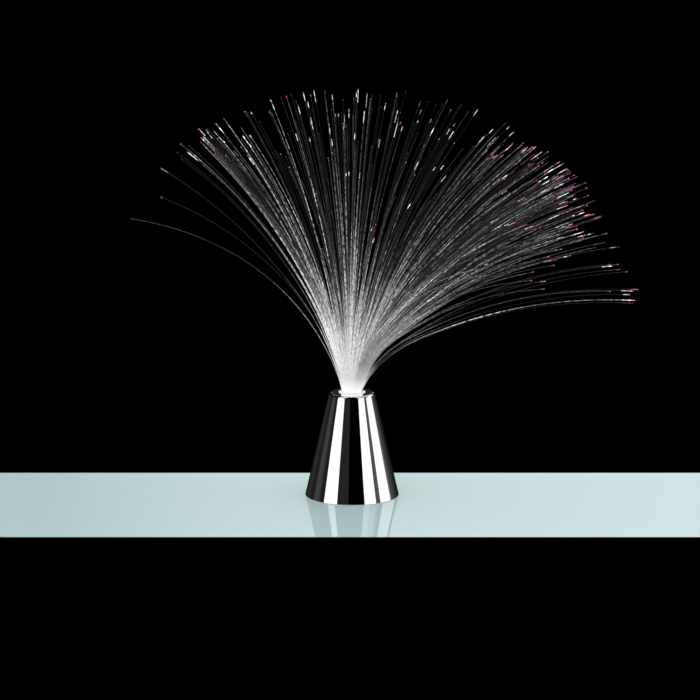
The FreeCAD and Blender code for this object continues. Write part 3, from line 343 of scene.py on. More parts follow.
def islands(node):
    """The separate solids of a CAD node, each as a list of its corner points."""
    mesh = bmesh.new()
    mesh.from_mesh(NODES[node].data)
    bmesh.ops.remove_doubles(mesh, verts=mesh.verts, dist=MERGE_DISTANCE)
    found, seen = [], set()
    for start in mesh.verts:
        if start in seen:
            continue
        seen.add(start)
        waiting, points = [start], []
        while waiting:
            vertex = waiting.pop()
            points.append(vertex.co.copy())
            for edge in vertex.link_edges:
                other = edge.other_vert(vertex)
                if other not in seen:
                    seen.add(other)
                    waiting.append(other)
        found.append(points)
    mesh.free()
    return found


def middle(points):
    """The mean of some points."""
    return sum(points, Vector()) / len(points)


# --- Materials ---------------------------------------------------------------------------------
def new_material(name):
    """A node material, with its nodes, links and Principled shader."""
    material = bpy.data.materials.new(name)
    material.use_nodes = True
    nodes, links = material.node_tree.nodes, material.node_tree.links
    return material, nodes, links, nodes["Principled BSDF"]


def set_inputs(node, values):
    """Gives a node's inputs, by their names, the values."""
    for name, value in values.items():
        node.inputs[name].default_value = value


def add_noise(material, scale, detail=3.0, stretch=(1, 1, 1)):
    """A noise texture in metres, drawn out along the axes whose stretch is under 1."""
    nodes, links = material.node_tree.nodes, material.node_tree.links
    place = nodes.new("ShaderNodeTexCoord")
    mapping = nodes.new("ShaderNodeMapping")
    mapping.inputs["Scale"].default_value = stretch
    noise = nodes.new("ShaderNodeTexNoise")
    set_inputs(noise, {"Scale": scale, "Detail": detail})
    links.new(place.outputs["Object"], mapping.inputs["Vector"])
    links.new(mapping.outputs["Vector"], noise.inputs["Vector"])
    return noise.outputs["Fac"]


def add_range(material, value, low, high, given=NOISE_RANGE):
    """A value in a given range, such as a noise's, spread over another range."""
    spread = material.node_tree.nodes.new("ShaderNodeMapRange")
    set_inputs(spread, {"From Min": given[0], "From Max": given[1], "To Min": low, "To Max": high})
    material.node_tree.links.new(value, spread.inputs["Value"])
    return spread.outputs["Result"]


def add_mix(material, factor, first, second):
    """A colour between two, by a factor."""
    mix = material.node_tree.nodes.new("ShaderNodeMix")
    mix.data_type = "RGBA"
    set_inputs(mix, {"A": (*first, 1), "B": (*second, 1)})
    material.node_tree.links.new(factor, mix.inputs["Factor"])
    return mix.outputs["Result"]


def add_bump(material, height, distance):
    """A bump of a height map, its depth in metres."""
    bump = material.node_tree.nodes.new("ShaderNodeBump")
    set_inputs(bump, {"Distance": distance, "Strength": 1})
    material.node_tree.links.new(height, bump.inputs["Height"])
    return bump.outputs["Normal"]


def add_attribute(material, name):
    """A value that the mesh gives for each of its points."""
    attribute = material.node_tree.nodes.new("ShaderNodeAttribute")
    attribute.attribute_name = name
    return attribute.outputs["Fac"]


def add_product(material, first, second):
    """The product of two values."""
    product = material.node_tree.nodes.new("ShaderNodeMath")
    product.operation = "MULTIPLY"
    material.node_tree.links.new(first, product.inputs[0])
    material.node_tree.links.new(second, product.inputs[1])
    return product.outputs["Value"]


def surface(name, colour, roughness, metallic=0.0, grain=1500.0, depth=0.02 * MM, vary=0.08,
            stretch=(1, 1, 1), coat=0.0, emission=None, level=0.0):
    """A material with slight unevenness in its colour, gloss and surface."""
    material, _, links, shader = new_material(name)
    mottle = add_noise(material, grain / MOTTLE_SIZE, 4.0, stretch)
    fine = add_noise(material, grain, 2.0, stretch)
    dark = [channel * (1 - vary) for channel in colour]
    light = [min(channel * (1 + vary), 1) for channel in colour]
    base = add_mix(material, add_range(material, mottle, 0, 1), dark, light)
    links.new(base, shader.inputs["Base Color"])
    links.new(add_range(material, mottle, *roughness), shader.inputs["Roughness"])
    links.new(add_bump(material, fine, depth), shader.inputs["Normal"])
    set_inputs(shader, {"Metallic": metallic, "Coat Weight": coat})
    if emission:
        set_inputs(shader, {"Emission Color": (*emission, 1), "Emission Strength": level})
    return material


def mirror_plating():
    """Vacuum plating on moulded plastic: mirror-bright, with faint smudges and moulding waves."""
    return surface(
        "mirror_plating", (0.93, 0.935, 0.945), (0.015, 0.05), 1.0,
        grain=260.0, depth=0.0015 * MM, vary=0.015
    )


def strand_material():
    """A clear polymer strand that leaks light, unevenly along its run; magenta tints the last of some, with
    painted glow for the halo round magenta tips.
    """
    material, nodes, links, shader = new_material("glowing_fibre")
    sparkle = nodes.new("ShaderNodeTexNoise")
    sparkle.noise_dimensions = "1D"
    set_inputs(sparkle, {"Scale": SPARKLE_SCALE, "Detail": 1.5})
    links.new(add_attribute(material, "run"), sparkle.inputs["W"])
    calmed = nodes.new("ShaderNodeMix")
    calmed.inputs["A"].default_value = 1
    links.new(add_attribute(material, "sparkle"), calmed.inputs["Factor"])
    links.new(add_range(material, sparkle.outputs["Fac"], *SPARKLE_RANGE), calmed.inputs["B"])
    level = add_product(material, add_attribute(material, "glow"), calmed.outputs["Result"])
    links.new(level, shader.inputs["Emission Strength"])
    tint = add_mix(material, add_attribute(material, "tint_and_painted_halo"), FIBRE_LIGHT, MAGENTA)
    links.new(tint, shader.inputs["Emission Color"])
    cloud = add_noise(material, 60.0)
    base = add_mix(material, cloud, (0.003, 0.003, 0.0033), (0.007, 0.007, 0.0075))
    links.new(base, shader.inputs["Base Color"])
    links.new(add_range(material, cloud, 0.12, 0.3), shader.inputs["Roughness"])
    set_inputs(shader, {"IOR": 1.49, "Specular IOR Level": 0.18})
    return material


def tip_material(name, colour, level):
    """The cut end of a strand, where its light comes out."""
    material, _, links, shader = new_material(name)
    grain = add_noise(material, 900.0)
    base = add_mix(material, grain, (0.01, 0.01, 0.01), (0.025, 0.025, 0.025))
    links.new(base, shader.inputs["Base Color"])
    links.new(add_range(material, grain, level * 0.85, level * 1.15), shader.inputs["Emission Strength"])
    set_inputs(shader, {"Roughness": 0.4, "Emission Color": (*colour, 1)})
    return material


def bundle_material():
    """Strands potted side by side: each glows, and the glue round it less."""
    material, nodes, links, shader = new_material("bundle_epoxy")
    place = nodes.new("ShaderNodeTexCoord")
    upright = nodes.new("ShaderNodeMapping")
    upright.inputs["Scale"].default_value = (1, 1, 0)
    links.new(place.outputs["Object"], upright.inputs["Vector"])
    packing = nodes.new("ShaderNodeTexVoronoi")
    packing.feature = "DISTANCE_TO_EDGE"
    set_inputs(packing, {"Scale": 1 / (2 * STRAND_RADIUS), "Randomness": 0.6})
    links.new(upright.outputs["Vector"], packing.inputs["Vector"])
    inside = add_range(material, packing.outputs["Distance"], 0, 1, (0, 0.12))
    base = add_mix(material, inside, (0.16, 0.16, 0.15), (0.72, 0.74, 0.77))
    links.new(base, shader.inputs["Base Color"])
    links.new(add_range(material, inside, 0.5, 1.1, (0, 1)), shader.inputs["Emission Strength"])
    links.new(add_bump(material, inside, 0.02 * MM), shader.inputs["Normal"])
    set_inputs(shader, {"Roughness": 0.18, "Emission Color": (*FIBRE_LIGHT, 1)})
    return material


# A slot's colour, range of roughness and, for metals, 1.0; then what else sets it apart.
MATERIALS = {
    "mirror_plating": mirror_plating(),
    "black_plastic": surface(
        "black_plastic", (0.034, 0.034, 0.036), (0.42, 0.6), grain=2600.0, depth=0.03 * MM
    ),
    "knob_plastic": surface("knob_plastic", (0.62, 0.62, 0.61), (0.38, 0.52), grain=2600.0),
    "white_plastic": surface("white_plastic", (0.78, 0.78, 0.76), (0.35, 0.5), grain=1800.0),
    "glowing_ring": surface(
        "glowing_ring", (0.5, 0.515, 0.53), (0.2, 0.32), grain=900.0, emission=FIBRE_LIGHT, level=0.42
    ),
    "glowing_fibre": strand_material(),
    "bundle_epoxy": bundle_material(),
    "sleeve_aluminium": surface(
        "sleeve_aluminium", (0.72, 0.725, 0.73), (0.22, 0.38), 1.0, grain=3000.0, stretch=(1, 1, 0.06)
    ),
    "steel": surface("steel", (0.56, 0.57, 0.58), (0.25, 0.4), 1.0, grain=2200.0),
    "contact_nickel": surface("contact_nickel", (0.68, 0.66, 0.61), (0.2, 0.36), 1.0, grain=1800.0),
    "foot_rubber": surface("foot_rubber", (0.03, 0.03, 0.031), (0.75, 0.95), grain=1400.0, depth=0.06 * MM),
    "board_green": surface("board_green", (0.03, 0.17, 0.07), (0.28, 0.42), grain=700.0, vary=0.2, coat=0.3),
    "led_epoxy": surface(
        "led_epoxy", (0.85, 0.87, 0.9), (0.05, 0.12), grain=500.0, depth=0.002 * MM,
        emission=(0.95, 0.97, 1.0), level=1.5
    ),
    "cell_jacket": surface("cell_jacket", (0.05, 0.09, 0.16), (0.18, 0.3), grain=800.0, coat=0.4),
    "wire_red": surface("wire_red", (0.42, 0.02, 0.015), (0.3, 0.45), grain=1500.0),
    "wire_black": surface("wire_black", (0.018, 0.018, 0.018), (0.3, 0.45), grain=1500.0),
}


def dress(piece, slot, body, node):
    """Gives a piece its material and its body, and hides the CAD node it stands for."""
    if not piece.data.materials:
        piece.data.materials.append(MATERIALS[slot])
    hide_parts(node)
    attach(piece, body)


def dress_cad_nodes():
    """Every CAD node gets the full material of its slot."""
    for row in frame["record"]["subparts"]:
        material = MATERIALS[row["material_slot"]]
        for slot in NODES[row["node"]].material_slots:
            slot.material = material


# --- Camera and stage --------------------------------------------------------------------------
def make_camera():
    """The view from the front, a little above the lamp, with a long lens."""
    data = bpy.data.cameras.new("camera")
    data.lens = CAMERA_LENS_MM
    data.sensor_width = CAMERA_SENSOR_MM
    camera = bpy.data.objects.new("camera", data)
    bpy.context.scene.collection.objects.link(camera)
    tilt = math.radians(CAMERA_ELEVATION_DEG)
    back = Vector((0, -math.cos(tilt), math.sin(tilt)))
    camera.location = CAMERA_TARGET + back * CAMERA_DISTANCE
    camera.rotation_euler = (math.pi / 2 - tilt, 0, 0)
    bpy.context.scene.camera = camera


def make_world():
    """Plain white light from all round, which the camera and reflections see as black."""
    world = bpy.data.worlds.new("world")
    bpy.context.scene.world = world
    world.use_nodes = True
    nodes, links = world.node_tree.nodes, world.node_tree.links
    light = nodes["Background"]
    set_inputs(light, {"Color": (1, 1, 1, 1), "Strength": WORLD_LEVEL})
    black = nodes.new("ShaderNodeBackground")
    black.inputs["Color"].default_value = (0, 0, 0, 1)
    path = nodes.new("ShaderNodeLightPath")
    seen = path.outputs["Is Camera Ray"]
    for kind in ("Is Glossy Ray", "Is Transmission Ray"):
        either = nodes.new("ShaderNodeMath")
        either.operation = "MAXIMUM"
        links.new(seen, either.inputs[0])
        links.new(path.outputs[kind], either.inputs[1])
        seen = either.outputs["Value"]
    choose = nodes.new("ShaderNodeMixShader")
    links.new(seen, choose.inputs["Fac"])
    links.new(light.outputs["Background"], choose.inputs[1])
    links.new(black.outputs["Background"], choose.inputs[2])
    links.new(choose.outputs["Shader"], nodes["World Output"].inputs["Surface"])


def glass_top_material():
    """Pale back-painted glass: an even colour under a clear, smooth surface; from below it isn't there."""
    material, nodes, links, shader = new_material("floor")
    set_inputs(shader, {"Base Color": (*FLOOR_COLOUR, 1), "Roughness": FLOOR_ROUGHNESS, "IOR": FLOOR_IOR})
    side = nodes.new("ShaderNodeNewGeometry")
    clear = nodes.new("ShaderNodeBsdfTransparent")
    choose = nodes.new("ShaderNodeMixShader")
    links.new(side.outputs["Backfacing"], choose.inputs["Fac"])
    links.new(shader.outputs["BSDF"], choose.inputs[1])
    links.new(clear.outputs["BSDF"], choose.inputs[2])
    links.new(choose.outputs["Shader"], nodes["Material Output"].inputs["Surface"])
    return material


def make_floor():
    """The pale surface that the lamp stands on."""
    corners = [(x, y, 0) for y in FLOOR_Y for x in FLOOR_X]
    floor = link_mesh("floor", corners, [(0, 1, 3, 2)])
    floor.data.materials.append(glass_top_material())
    floor.visible_diffuse = False  # the underside is lit too, for views from below
    floor.visible_glossy = False  # the plating mirrors dark surroundings down to its rim


def glow_panel(name, corners, levels, lights):
    """A strip from pairs of corners, seen only in reflections; it lights the lamp if lights says so."""
    faces = [(k, k + 2, k + 3, k + 1) for k in range(0, len(corners) - 2, 2)]
    panel = link_mesh(name, corners, faces)
    panel.data.attributes.new("level", "FLOAT", "POINT").data.foreach_set("value", levels)
    material, nodes, links, shader = new_material(name)
    glow = nodes.new("ShaderNodeEmission")
    links.new(add_attribute(material, "level"), glow.inputs["Strength"])
    links.new(glow.outputs["Emission"], nodes["Material Output"].inputs["Surface"])
    nodes.remove(shader)
    panel.data.materials.append(material)
    panel.visible_camera = False
    panel.visible_shadow = False
    panel.visible_transmission = False
    panel.visible_diffuse = lights


def curved_panel(name, from_deg, to_deg, from_level, to_level, heights, lights):
    """A panel on a circle round the lamp, between two azimuths, with a brightness at each end."""
    steps = max(1, round((to_deg - from_deg) / PANEL_STEP_DEG))
    corners, levels = [], []
    for step in range(steps + 1):
        azimuth = math.radians(from_deg + (to_deg - from_deg) * step / steps)
        x, y = PANEL_DISTANCE * math.sin(azimuth), -PANEL_DISTANCE * math.cos(azimuth)
        corners += [(x, y, z) for z in heights]
        levels += [from_level + (to_level - from_level) * step / steps] * len(heights)
    glow_panel(name, corners, levels, lights)


def make_ground():
    """A pale disc below, seen only in reflections, so that the plating isn't black from above."""
    corners, levels = [], []
    for step in range(GROUND_SIDES + 1):
        angle = 2 * math.pi * step / GROUND_SIDES
        corners.append((0, 0, GROUND_Z))
        corners.append((GROUND_RADIUS * math.cos(angle), GROUND_RADIUS * math.sin(angle), GROUND_Z))
        levels += GROUND_LEVELS
    glow_panel("ground", corners, levels, False)


def make_studio():
    """Softboxes and dim walls all round, and what the floor's gloss and the cone's top mirror behind."""
    for lights, panels in ((True, SOFTBOXES), (False, WALLS)):
        for name, from_deg, to_deg, from_level, to_level, heights in panels:
            curved_panel(name, from_deg, to_deg, from_level, to_level, heights, lights)
    corners = [(x, BACK_STRIP_DISTANCE, z) for x, _ in BACK_STRIP_LEVELS for z in BACK_STRIP_Z]
    levels = [level for _, level in BACK_STRIP_LEVELS for _ in BACK_STRIP_Z]
    glow_panel("back_strip", corners, levels, False)
    corners = [(x, PANEL_DISTANCE, z) for x in BEHIND_TOP_X for z in BEHIND_TOP_Z]
    glow_panel("behind_top", corners, [BEHIND_TOP_LEVEL] * len(corners), False)


# --- Cone and neck -----------------------------------------------------------------------------
def make_housing():
    """The plated shell: sloping side, rounded shoulder, flat top with the neck hole, open below."""
    low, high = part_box("cone_housing")
    bottom_radius = (high.x - low.x) / 2
    slope = (bottom_radius - TOP_OUTER_RADIUS) / (high.z - low.z)
    slope_deg = math.degrees(math.atan(slope))
    setback = SHOULDER_RADIUS * math.tan(math.radians(90 - slope_deg) / 2)
    shoulder_r = TOP_OUTER_RADIUS - setback
    wall = HOUSING_WALL * math.hypot(1, slope)
    inner_top_z = high.z - HOUSING_TOP_THICKNESS
    inner_top_radius = bottom_radius - wall - slope * (inner_top_z - low.z)
    rim_r, rim_z = bottom_radius - RIM_ROUNDING, low.z + RIM_ROUNDING
    rim = arc(rim_r, rim_z, RIM_ROUNDING, -90, slope_deg)
    shoulder = arc(shoulder_r, high.z - SHOULDER_RADIUS, SHOULDER_RADIUS, slope_deg, 90, SHOULDER_STEPS)
    side = [
        tuple(a + (b - a) * share for a, b in zip(rim[-1], shoulder[0]))
        for share in (EDGE_SHARE, 1 - EDGE_SHARE)
    ]
    profile = rim + side + shoulder + [
        (shoulder_r + (NECK_HOLE_RADIUS - shoulder_r) * TOP_EDGE_SHARE, high.z),
        (NECK_HOLE_RADIUS, high.z),
        (NECK_HOLE_RADIUS, inner_top_z),
        (inner_top_radius, inner_top_z),
        (bottom_radius - wall, low.z),
    ]
    shell = revolve("housing_shell", profile, HOUSING_SIDES)
    dress(shell, "mirror_plating", "base", "cone_housing")


def make_neck_ring():
    """The milky ring, its flange's edge rounded, with the tube that reaches down into the socket."""
    low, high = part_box("neck_ring")
    flange_radius = (high.x - low.x) / 2
    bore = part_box("ferrule")[1].x + FERRULE_CLEARANCE
    flange_z = high.z - RING_FLANGE_HEIGHT
    profile = [
        (bore, flange_z + RING_BORE_HEIGHT),
        (bore, low.z),
        (bore + RING_WALL, low.z),
        (bore + RING_WALL, flange_z),
        (flange_radius, flange_z),
    ]
    edge_r, edge_z = flange_radius - RING_ROUNDING, flange_z + RING_EDGE_HEIGHT - RING_ROUNDING
    profile += arc(edge_r, edge_z, RING_ROUNDING, 0, 90)
    ring = revolve("light_ring", profile, RING_SIDES)
    dress(ring, "glowing_ring", "ring", "neck_ring")


# --- Foot, screws, cells and springs -----------------------------------------------------------
def make_foot_ring():
    """The soft foot: rounded below, with a groove all round the middle of its tread."""
    low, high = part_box("foot_ring")
    outer = high.x - FOOT_FIT
    inner = outer - FOOT_WIDTH
    tread = (inner + outer) / 2
    round_z = low.z + FOOT_ROUNDING
    profile = arc(inner + FOOT_ROUNDING, round_z, FOOT_ROUNDING, 180, 270)
    profile += [
        (tread - TREAD_HALF_WIDTH, low.z),
        (tread - TREAD_HALF_WIDTH / 2, low.z + TREAD_DEPTH),
        (tread + TREAD_HALF_WIDTH / 2, low.z + TREAD_DEPTH),
        (tread + TREAD_HALF_WIDTH, low.z),
    ]
    profile += arc(outer - FOOT_ROUNDING, round_z, FOOT_ROUNDING, 270, 360)
    profile += [(outer, high.z), (inner, high.z)]
    foot = revolve("rubber_foot", profile, HOUSING_SIDES)
    dress(foot, "foot_rubber", "base", "foot_ring")


def cross_radius(angle):
    """How far the outline of a cross is from its middle in one direction, for a head of radius 1."""
    along = max(abs(math.cos(angle)), abs(math.sin(angle)))
    aside = min(abs(math.cos(angle)), abs(math.sin(angle)))
    if aside * CROSS_ARM < CROSS_HALF_WIDTH * along:
        return CROSS_ARM / along
    return CROSS_HALF_WIDTH / aside


def screw_rings(head_radius, low_z, high_z):
    """Rings from a screw's tip to the bottom of its recess: (round radius, size of the cross, height)."""
    shank = head_radius / SCREW_HEAD_RATIO
    root = shank * SCREW_ROOT
    neck_z = low_z + SCREW_HEAD_HEIGHT
    rings = [(0, 0, high_z), (shank / 2, 0, high_z), (root, 0, high_z - shank / 2)]
    z = high_z - shank
    while z > neck_z + SCREW_PITCH:
        rings.append((shank, 0, z))
        rings += [(root, 0, z - SCREW_PITCH * share) for share in (SCREW_FLANK, 1 - SCREW_FLANK)]
        z -= SCREW_PITCH
    edge_z = neck_z - SCREW_HEAD_HEIGHT * SCREW_EDGE
    rings += [(shank, 0, neck_z), (head_radius, 0, neck_z), (head_radius, 0, edge_z)]
    for step in range(1, ROUNDING_STEPS + 1):
        angle = math.pi / 2 * step / ROUNDING_STEPS
        across = head_radius * (SCREW_LAND + (1 - SCREW_LAND) * math.cos(angle))
        rings.append((across, 0, low_z + (edge_z - low_z) * (1 - math.sin(angle))))
    depth = head_radius * CROSS_DEPTH
    return rings + [
        (0, head_radius, low_z),
        (0, head_radius * CROSS_TAPER, low_z + depth),
        (0, 0, low_z + depth * CROSS_POINT),
    ]


def make_screws(name, node, body):
    """Pan-head screws with a cross recess, where a CAD node has its plain ones."""
    angles = [math.radians(quarter * 90 + angle) for quarter in range(4) for angle in CROSS_ANGLES_DEG]
    vertices, faces = [], []
    for points in islands(node):
        centre = middle(points)
        head_radius = max(math.hypot(point.x - centre.x, point.y - centre.y) for point in points)
        low_z = min(point.z for point in points)
        high_z = max(point.z for point in points)
        for row, (radius, cross, z) in enumerate(screw_rings(head_radius, low_z, high_z)):
            first = len(vertices)
            for angle in angles:
                reach = cross_radius(angle) * cross if cross else radius
                vertices.append((centre.x + reach * math.cos(angle), centre.y + reach * math.sin(angle), z))
            if row:
                faces += band(first - len(angles), first, len(angles))
    screws = link_mesh(name, vertices, faces)
    weld(screws)
    dress(screws, "steel", body, node)


def cell_place(number):
    """The middle of a cell's flat end, and the way along Y from there to its nub (1 or -1)."""
    low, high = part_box(f"battery_cell_{number}")
    towards = 1 if high.y > -low.y else -1  # the nub's end lies further from the middle
    flat_y = low.y if towards > 0 else high.y
    return Vector(((low.x + high.x) / 2, flat_y, (low.z + high.z) / 2)), towards


def cell_profile(radius, length):
    """A cell's (radius, height) points from the middle of its flat end to the top of its nub."""
    can = length - CELL_NUB_HEIGHT
    dish, dish_edge = (radius * share for share in CELL_DISH_RADII)
    profile = [(0, CELL_DISH), (dish, CELL_DISH), (dish_edge, 0), (SLEEVE_EDGE_RADIUS, 0)]
    profile += arc(radius - CELL_ROUNDING, CELL_ROUNDING, CELL_ROUNDING, -90, 0)
    profile += arc(radius - CELL_ROUNDING, can - CELL_ROUNDING, CELL_ROUNDING, 0, 90)
    profile += [(SLEEVE_EDGE_RADIUS, can), (CELL_NUB_RADIUS * CELL_NUB_FOOT, can)]
    profile.append((CELL_NUB_RADIUS, can + CELL_DISH))
    profile += arc(CELL_NUB_RADIUS - CELL_DISH, length - CELL_DISH, CELL_DISH, 0, 90)
    return profile + [(0, length)]


def make_cells():
    """Battery cells in plain sleeves, each end bare metal, its flat end slightly dished."""
    for number in range(1, CELLS + 1):
        low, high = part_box(f"battery_cell_{number}")
        profile = cell_profile((high.x - low.x) / 2, high.y - low.y)
        place, towards = cell_place(number)
        cell = revolve(f"cell_{number}", profile, CELL_SIDES, Vector((0, towards, 0)), place)
        cell.data.materials.append(MATERIALS["cell_jacket"])
        cell.data.materials.append(MATERIALS["contact_nickel"])
        for polygon in cell.data.polygons:
            reach = math.hypot(polygon.center.x - place.x, polygon.center.z - place.z)
            polygon.material_index = 0 if reach > SLEEVE_EDGE_RADIUS else 1
        dress(cell, "cell_jacket", "base", f"battery_cell_{number}")


def tube(points, radius, sides):
    """The points and faces of a round wire along a line of points, closed at both ends."""
    vertices, faces = [], []
    across = (points[1] - points[0]).orthogonal().normalized()
    for index, point in enumerate(points):
        ahead = (points[min(index + 1, len(points) - 1)] - points[max(index - 1, 0)]).normalized()
        across = square_to(ahead, across)
        vertices += ring_points(point, ahead, across, radius, sides)
        if index:
            faces += band((index - 1) * sides, index * sides, sides)
    faces.append(tuple(reversed(range(sides))))
    faces.append(tuple(range(len(vertices) - sides, len(vertices))))
    return vertices, faces


def spring_line(end, towards, strip_y):
    """The middle of a spring's wire, from the contact strip to a cell's flat end."""
    start_y = -towards * (strip_y - SPRING_WIRE_RADIUS)
    rise = end.y - towards * SPRING_WIRE_RADIUS - start_y
    steps = round(SPRING_STEPS * SPRING_TURNS)
    line = []
    for step in range(steps + 1):
        share = step / steps
        radius = SPRING_WIDE_RADIUS + (SPRING_NARROW_RADIUS - SPRING_WIDE_RADIUS) * share
        angle = 2 * math.pi * SPRING_TURNS * share
        y = start_y + rise * (3 * share ** 2 - 2 * share ** 3)
        line.append(Vector((end.x + radius * math.cos(angle), y, end.z + radius * math.sin(angle))))
    return line


def make_springs():
    """The tapered springs that press on the cells' flat ends; their end turns lie flat."""
    strip_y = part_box("contact_springs")[1].y
    vertices, faces = [], []
    for number in range(1, CELLS + 1):
        line = spring_line(*cell_place(number), strip_y)
        spring, around = tube(line, SPRING_WIRE_RADIUS, SPRING_SIDES)
        faces += [tuple(corner + len(vertices) for corner in face) for face in around]
        vertices += spring
    springs = link_mesh("springs", vertices, faces)
    springs.data.set_sharp_from_angle(angle=math.radians(SPRING_SHARP_DEG))
    dress(springs, "contact_nickel", "base", "contact_springs")


# --- Spray -------------------------------------------------------------------------------------
def centre_line(points):
    """The corners of a CAD strand's runs: the middles of its rings of points, from the neck out."""
    root = middle(sorted(points, key=lambda point: point.z)[:CAD_STRAND_SIDES])
    outwards = sorted(points, key=lambda point: (point - root).length)
    starts = range(0, len(outwards), CAD_STRAND_SIDES)
    return [middle(outwards[start:start + CAD_STRAND_SIDES]) for start in starts]


class SmoothLine:
    """A smooth curve through the corners of a strand's runs."""

    def __init__(self, corners):
        self.corners = corners
        runs = [b - a for a, b in zip(corners, corners[1:])]
        self.lengths = [run.length for run in runs]
        slopes = [run / length for run, length in zip(runs, self.lengths)]
        inner = []
        for k in range(1, len(runs)):
            before, after = self.lengths[k - 1], self.lengths[k]
            inner.append((slopes[k - 1] * after + slopes[k] * before) / (before + after))
        self.slopes = [2 * slopes[0] - inner[0], *inner, 2 * slopes[-1] - inner[-1]]
        self.length = sum(self.lengths)

    def point(self, share):
        """The point at a share of the curve's length."""
        left = min(max(share, 0), 1) * self.length
        index = 0
        while left > self.lengths[index] and index < len(self.lengths) - 1:
            left -= self.lengths[index]
            index += 1
        run = self.lengths[index]
        t = left / run
        return (
            self.corners[index] * (2 * t ** 3 - 3 * t ** 2 + 1)
            + self.corners[index + 1] * (3 * t ** 2 - 2 * t ** 3)
            + self.slopes[index] * (run * (t ** 3 - 2 * t ** 2 + t))
            + self.slopes[index + 1] * (run * (t ** 3 - t ** 2))
        )

    def direction(self, share):
        """Which way the curve runs at a share of its length."""
        return (self.point(share + DIRECTION_REACH) - self.point(share - DIRECTION_REACH)).normalized()


def lean_deg(corners):
    """How far a strand's tip leans towards +X, seen from the front."""
    reach = corners[-1] - corners[0]
    return math.degrees(math.atan2(reach.x, reach.z))


def by_lean(table, lean):
    """The rest of the first row of a table whose lean isn't passed yet."""
    for row in table:
        if lean <= row[0]:
            return row[1:]
    return table[-1][1:]


def companion(corners, spread_deg, bend_deg, rng):
    """A strand beside a CAD strand: it parts from it more and more, and ends sooner or later."""
    root = corners[0]
    new_root = root + Vector((rng.gauss(0, 1), rng.gauss(0, 1), 0)) * COMPANION_SHIFT
    from_axis = Vector((new_root.x, new_root.y, 0))
    if from_axis.length > BUNDLE_RADIUS:
        new_root -= from_axis * (1 - BUNDLE_RADIUS / from_axis.length)
    heading = rng.uniform(0, 2 * math.pi)
    axis = Vector((math.cos(heading), math.sin(heading), 0))
    turn_deg = rng.gauss(0, spread_deg) * (LOOSE_SPREAD if rng.random() < LOOSE_SHARE else 1)
    scale = by_lean(COMPANION_LONGEST, lean_deg(corners))[0] - COMPANION_SHORTER * rng.random() ** 2
    placed = []
    for index, corner in enumerate(corners):
        share = index / (len(corners) - 1)
        parted = COMPANION_ROOT_TURN + (1 - COMPANION_ROOT_TURN) * share
        turn = Matrix.Rotation(math.radians(turn_deg * parted), 3, axis)
        bend = Matrix.Rotation(math.radians(bend_deg * (2 * share - 1)), 3, "Y")
        placed.append(new_root + bend @ turn @ (corner - root) * scale)
    return placed


def glow_at(distance, near_glow, far_glow, lustre):
    """The glow of a strand at a distance from the neck; lustre is 0 for a usual strand."""
    average = GLOW_FALL[-1][1]
    for (start, bright), (end, dim) in zip(GLOW_FALL, GLOW_FALL[1:]):
        if start <= distance <= end:
            average = bright + (dim - bright) * (distance - start) / (end - start)
    if distance < ROOT:
        own = 1 + (near_glow - 1) * distance / ROOT
    else:
        own = near_glow + (far_glow - near_glow) * min((distance - ROOT) / (FAR - ROOT), 1) ** 2
    uneven = LUSTRE_SPREAD * min(distance / EVEN_GLOW_REACH, 1) ** 2
    glow = average * own * math.exp(uneven * lustre - uneven ** 2 / 2)
    limit = max(GLOW_LIMIT, GLOW_ROOM * average)
    return glow / (1 + (glow / limit) ** GLOW_BEND) ** (1 / GLOW_BEND)


class StrandLook:
    """What chance decides about the light in one strand, and its values along the strand."""

    def __init__(self, lean, length, glows, rng):
        self.length, self.glows = length, glows
        self.lustre = min(rng.gauss(0, 1), LUSTRE_MOST)
        # the glint is a painted highlight: glow added on the last stretch in place of a softbox's reflection
        # on it
        self.glint = rng.uniform(*GLINT_LEVEL) if rng.random() < GLINT_SHARE else 0
        self.glint_share = 1 - rng.uniform(*GLINT_LENGTH) / length
        self.magenta = rng.random() < by_lean(MAGENTA_SHARES, lean)[0]
        self.run_start = rng.uniform(0, RUN_START_MOST)
        # the tint: at a magenta tip, the strand's own magenta light with a painted halo; on other strands
        # that lean far, a painted haze for the halo of the tips near them
        self.tint_and_halo_length = 0
        if self.magenta:
            self.tint_and_halo_length = TIP_TINT_AND_HALO_LENGTH
        elif lean > PAINTED_HAZE_FROM_DEG and not self.glint:
            self.tint_and_halo_length = PAINTED_HAZE_LENGTH

    def ring_shares(self):
        """The shares of the strand's length at which it has rings, up to its tip."""
        start = self.glint_share
        even = [index / STRAND_RINGS for index in range(STRAND_RINGS)]
        shares = [share for share in even if share < start - RING_SPACE]
        return shares + [start, start + GLINT_EDGE, (1 + start) / 2, 1 - BEAD_LENGTH / self.length]

    def values(self, share, swell):
        """The glow, sparkle, magenta tint and run at a share of the strand's length; the glow holds the
        painted glint and painted halo.
        """
        distance = share * self.length
        tint_and_painted_halo = 0
        if self.tint_and_halo_length:
            tint_and_painted_halo = max(1 - (self.length - distance) / self.tint_and_halo_length, 0)
        glow = glow_at(distance, *self.glows, self.lustre + swell) + PAINTED_HALO_GLOW * tint_and_painted_halo
        # the painted highlight of the glint
        if share > self.glint_share:
            glow += self.glint
        return glow, min(distance / EVEN_SPARKLE_REACH, 1), tint_and_painted_halo, self.run_start + distance


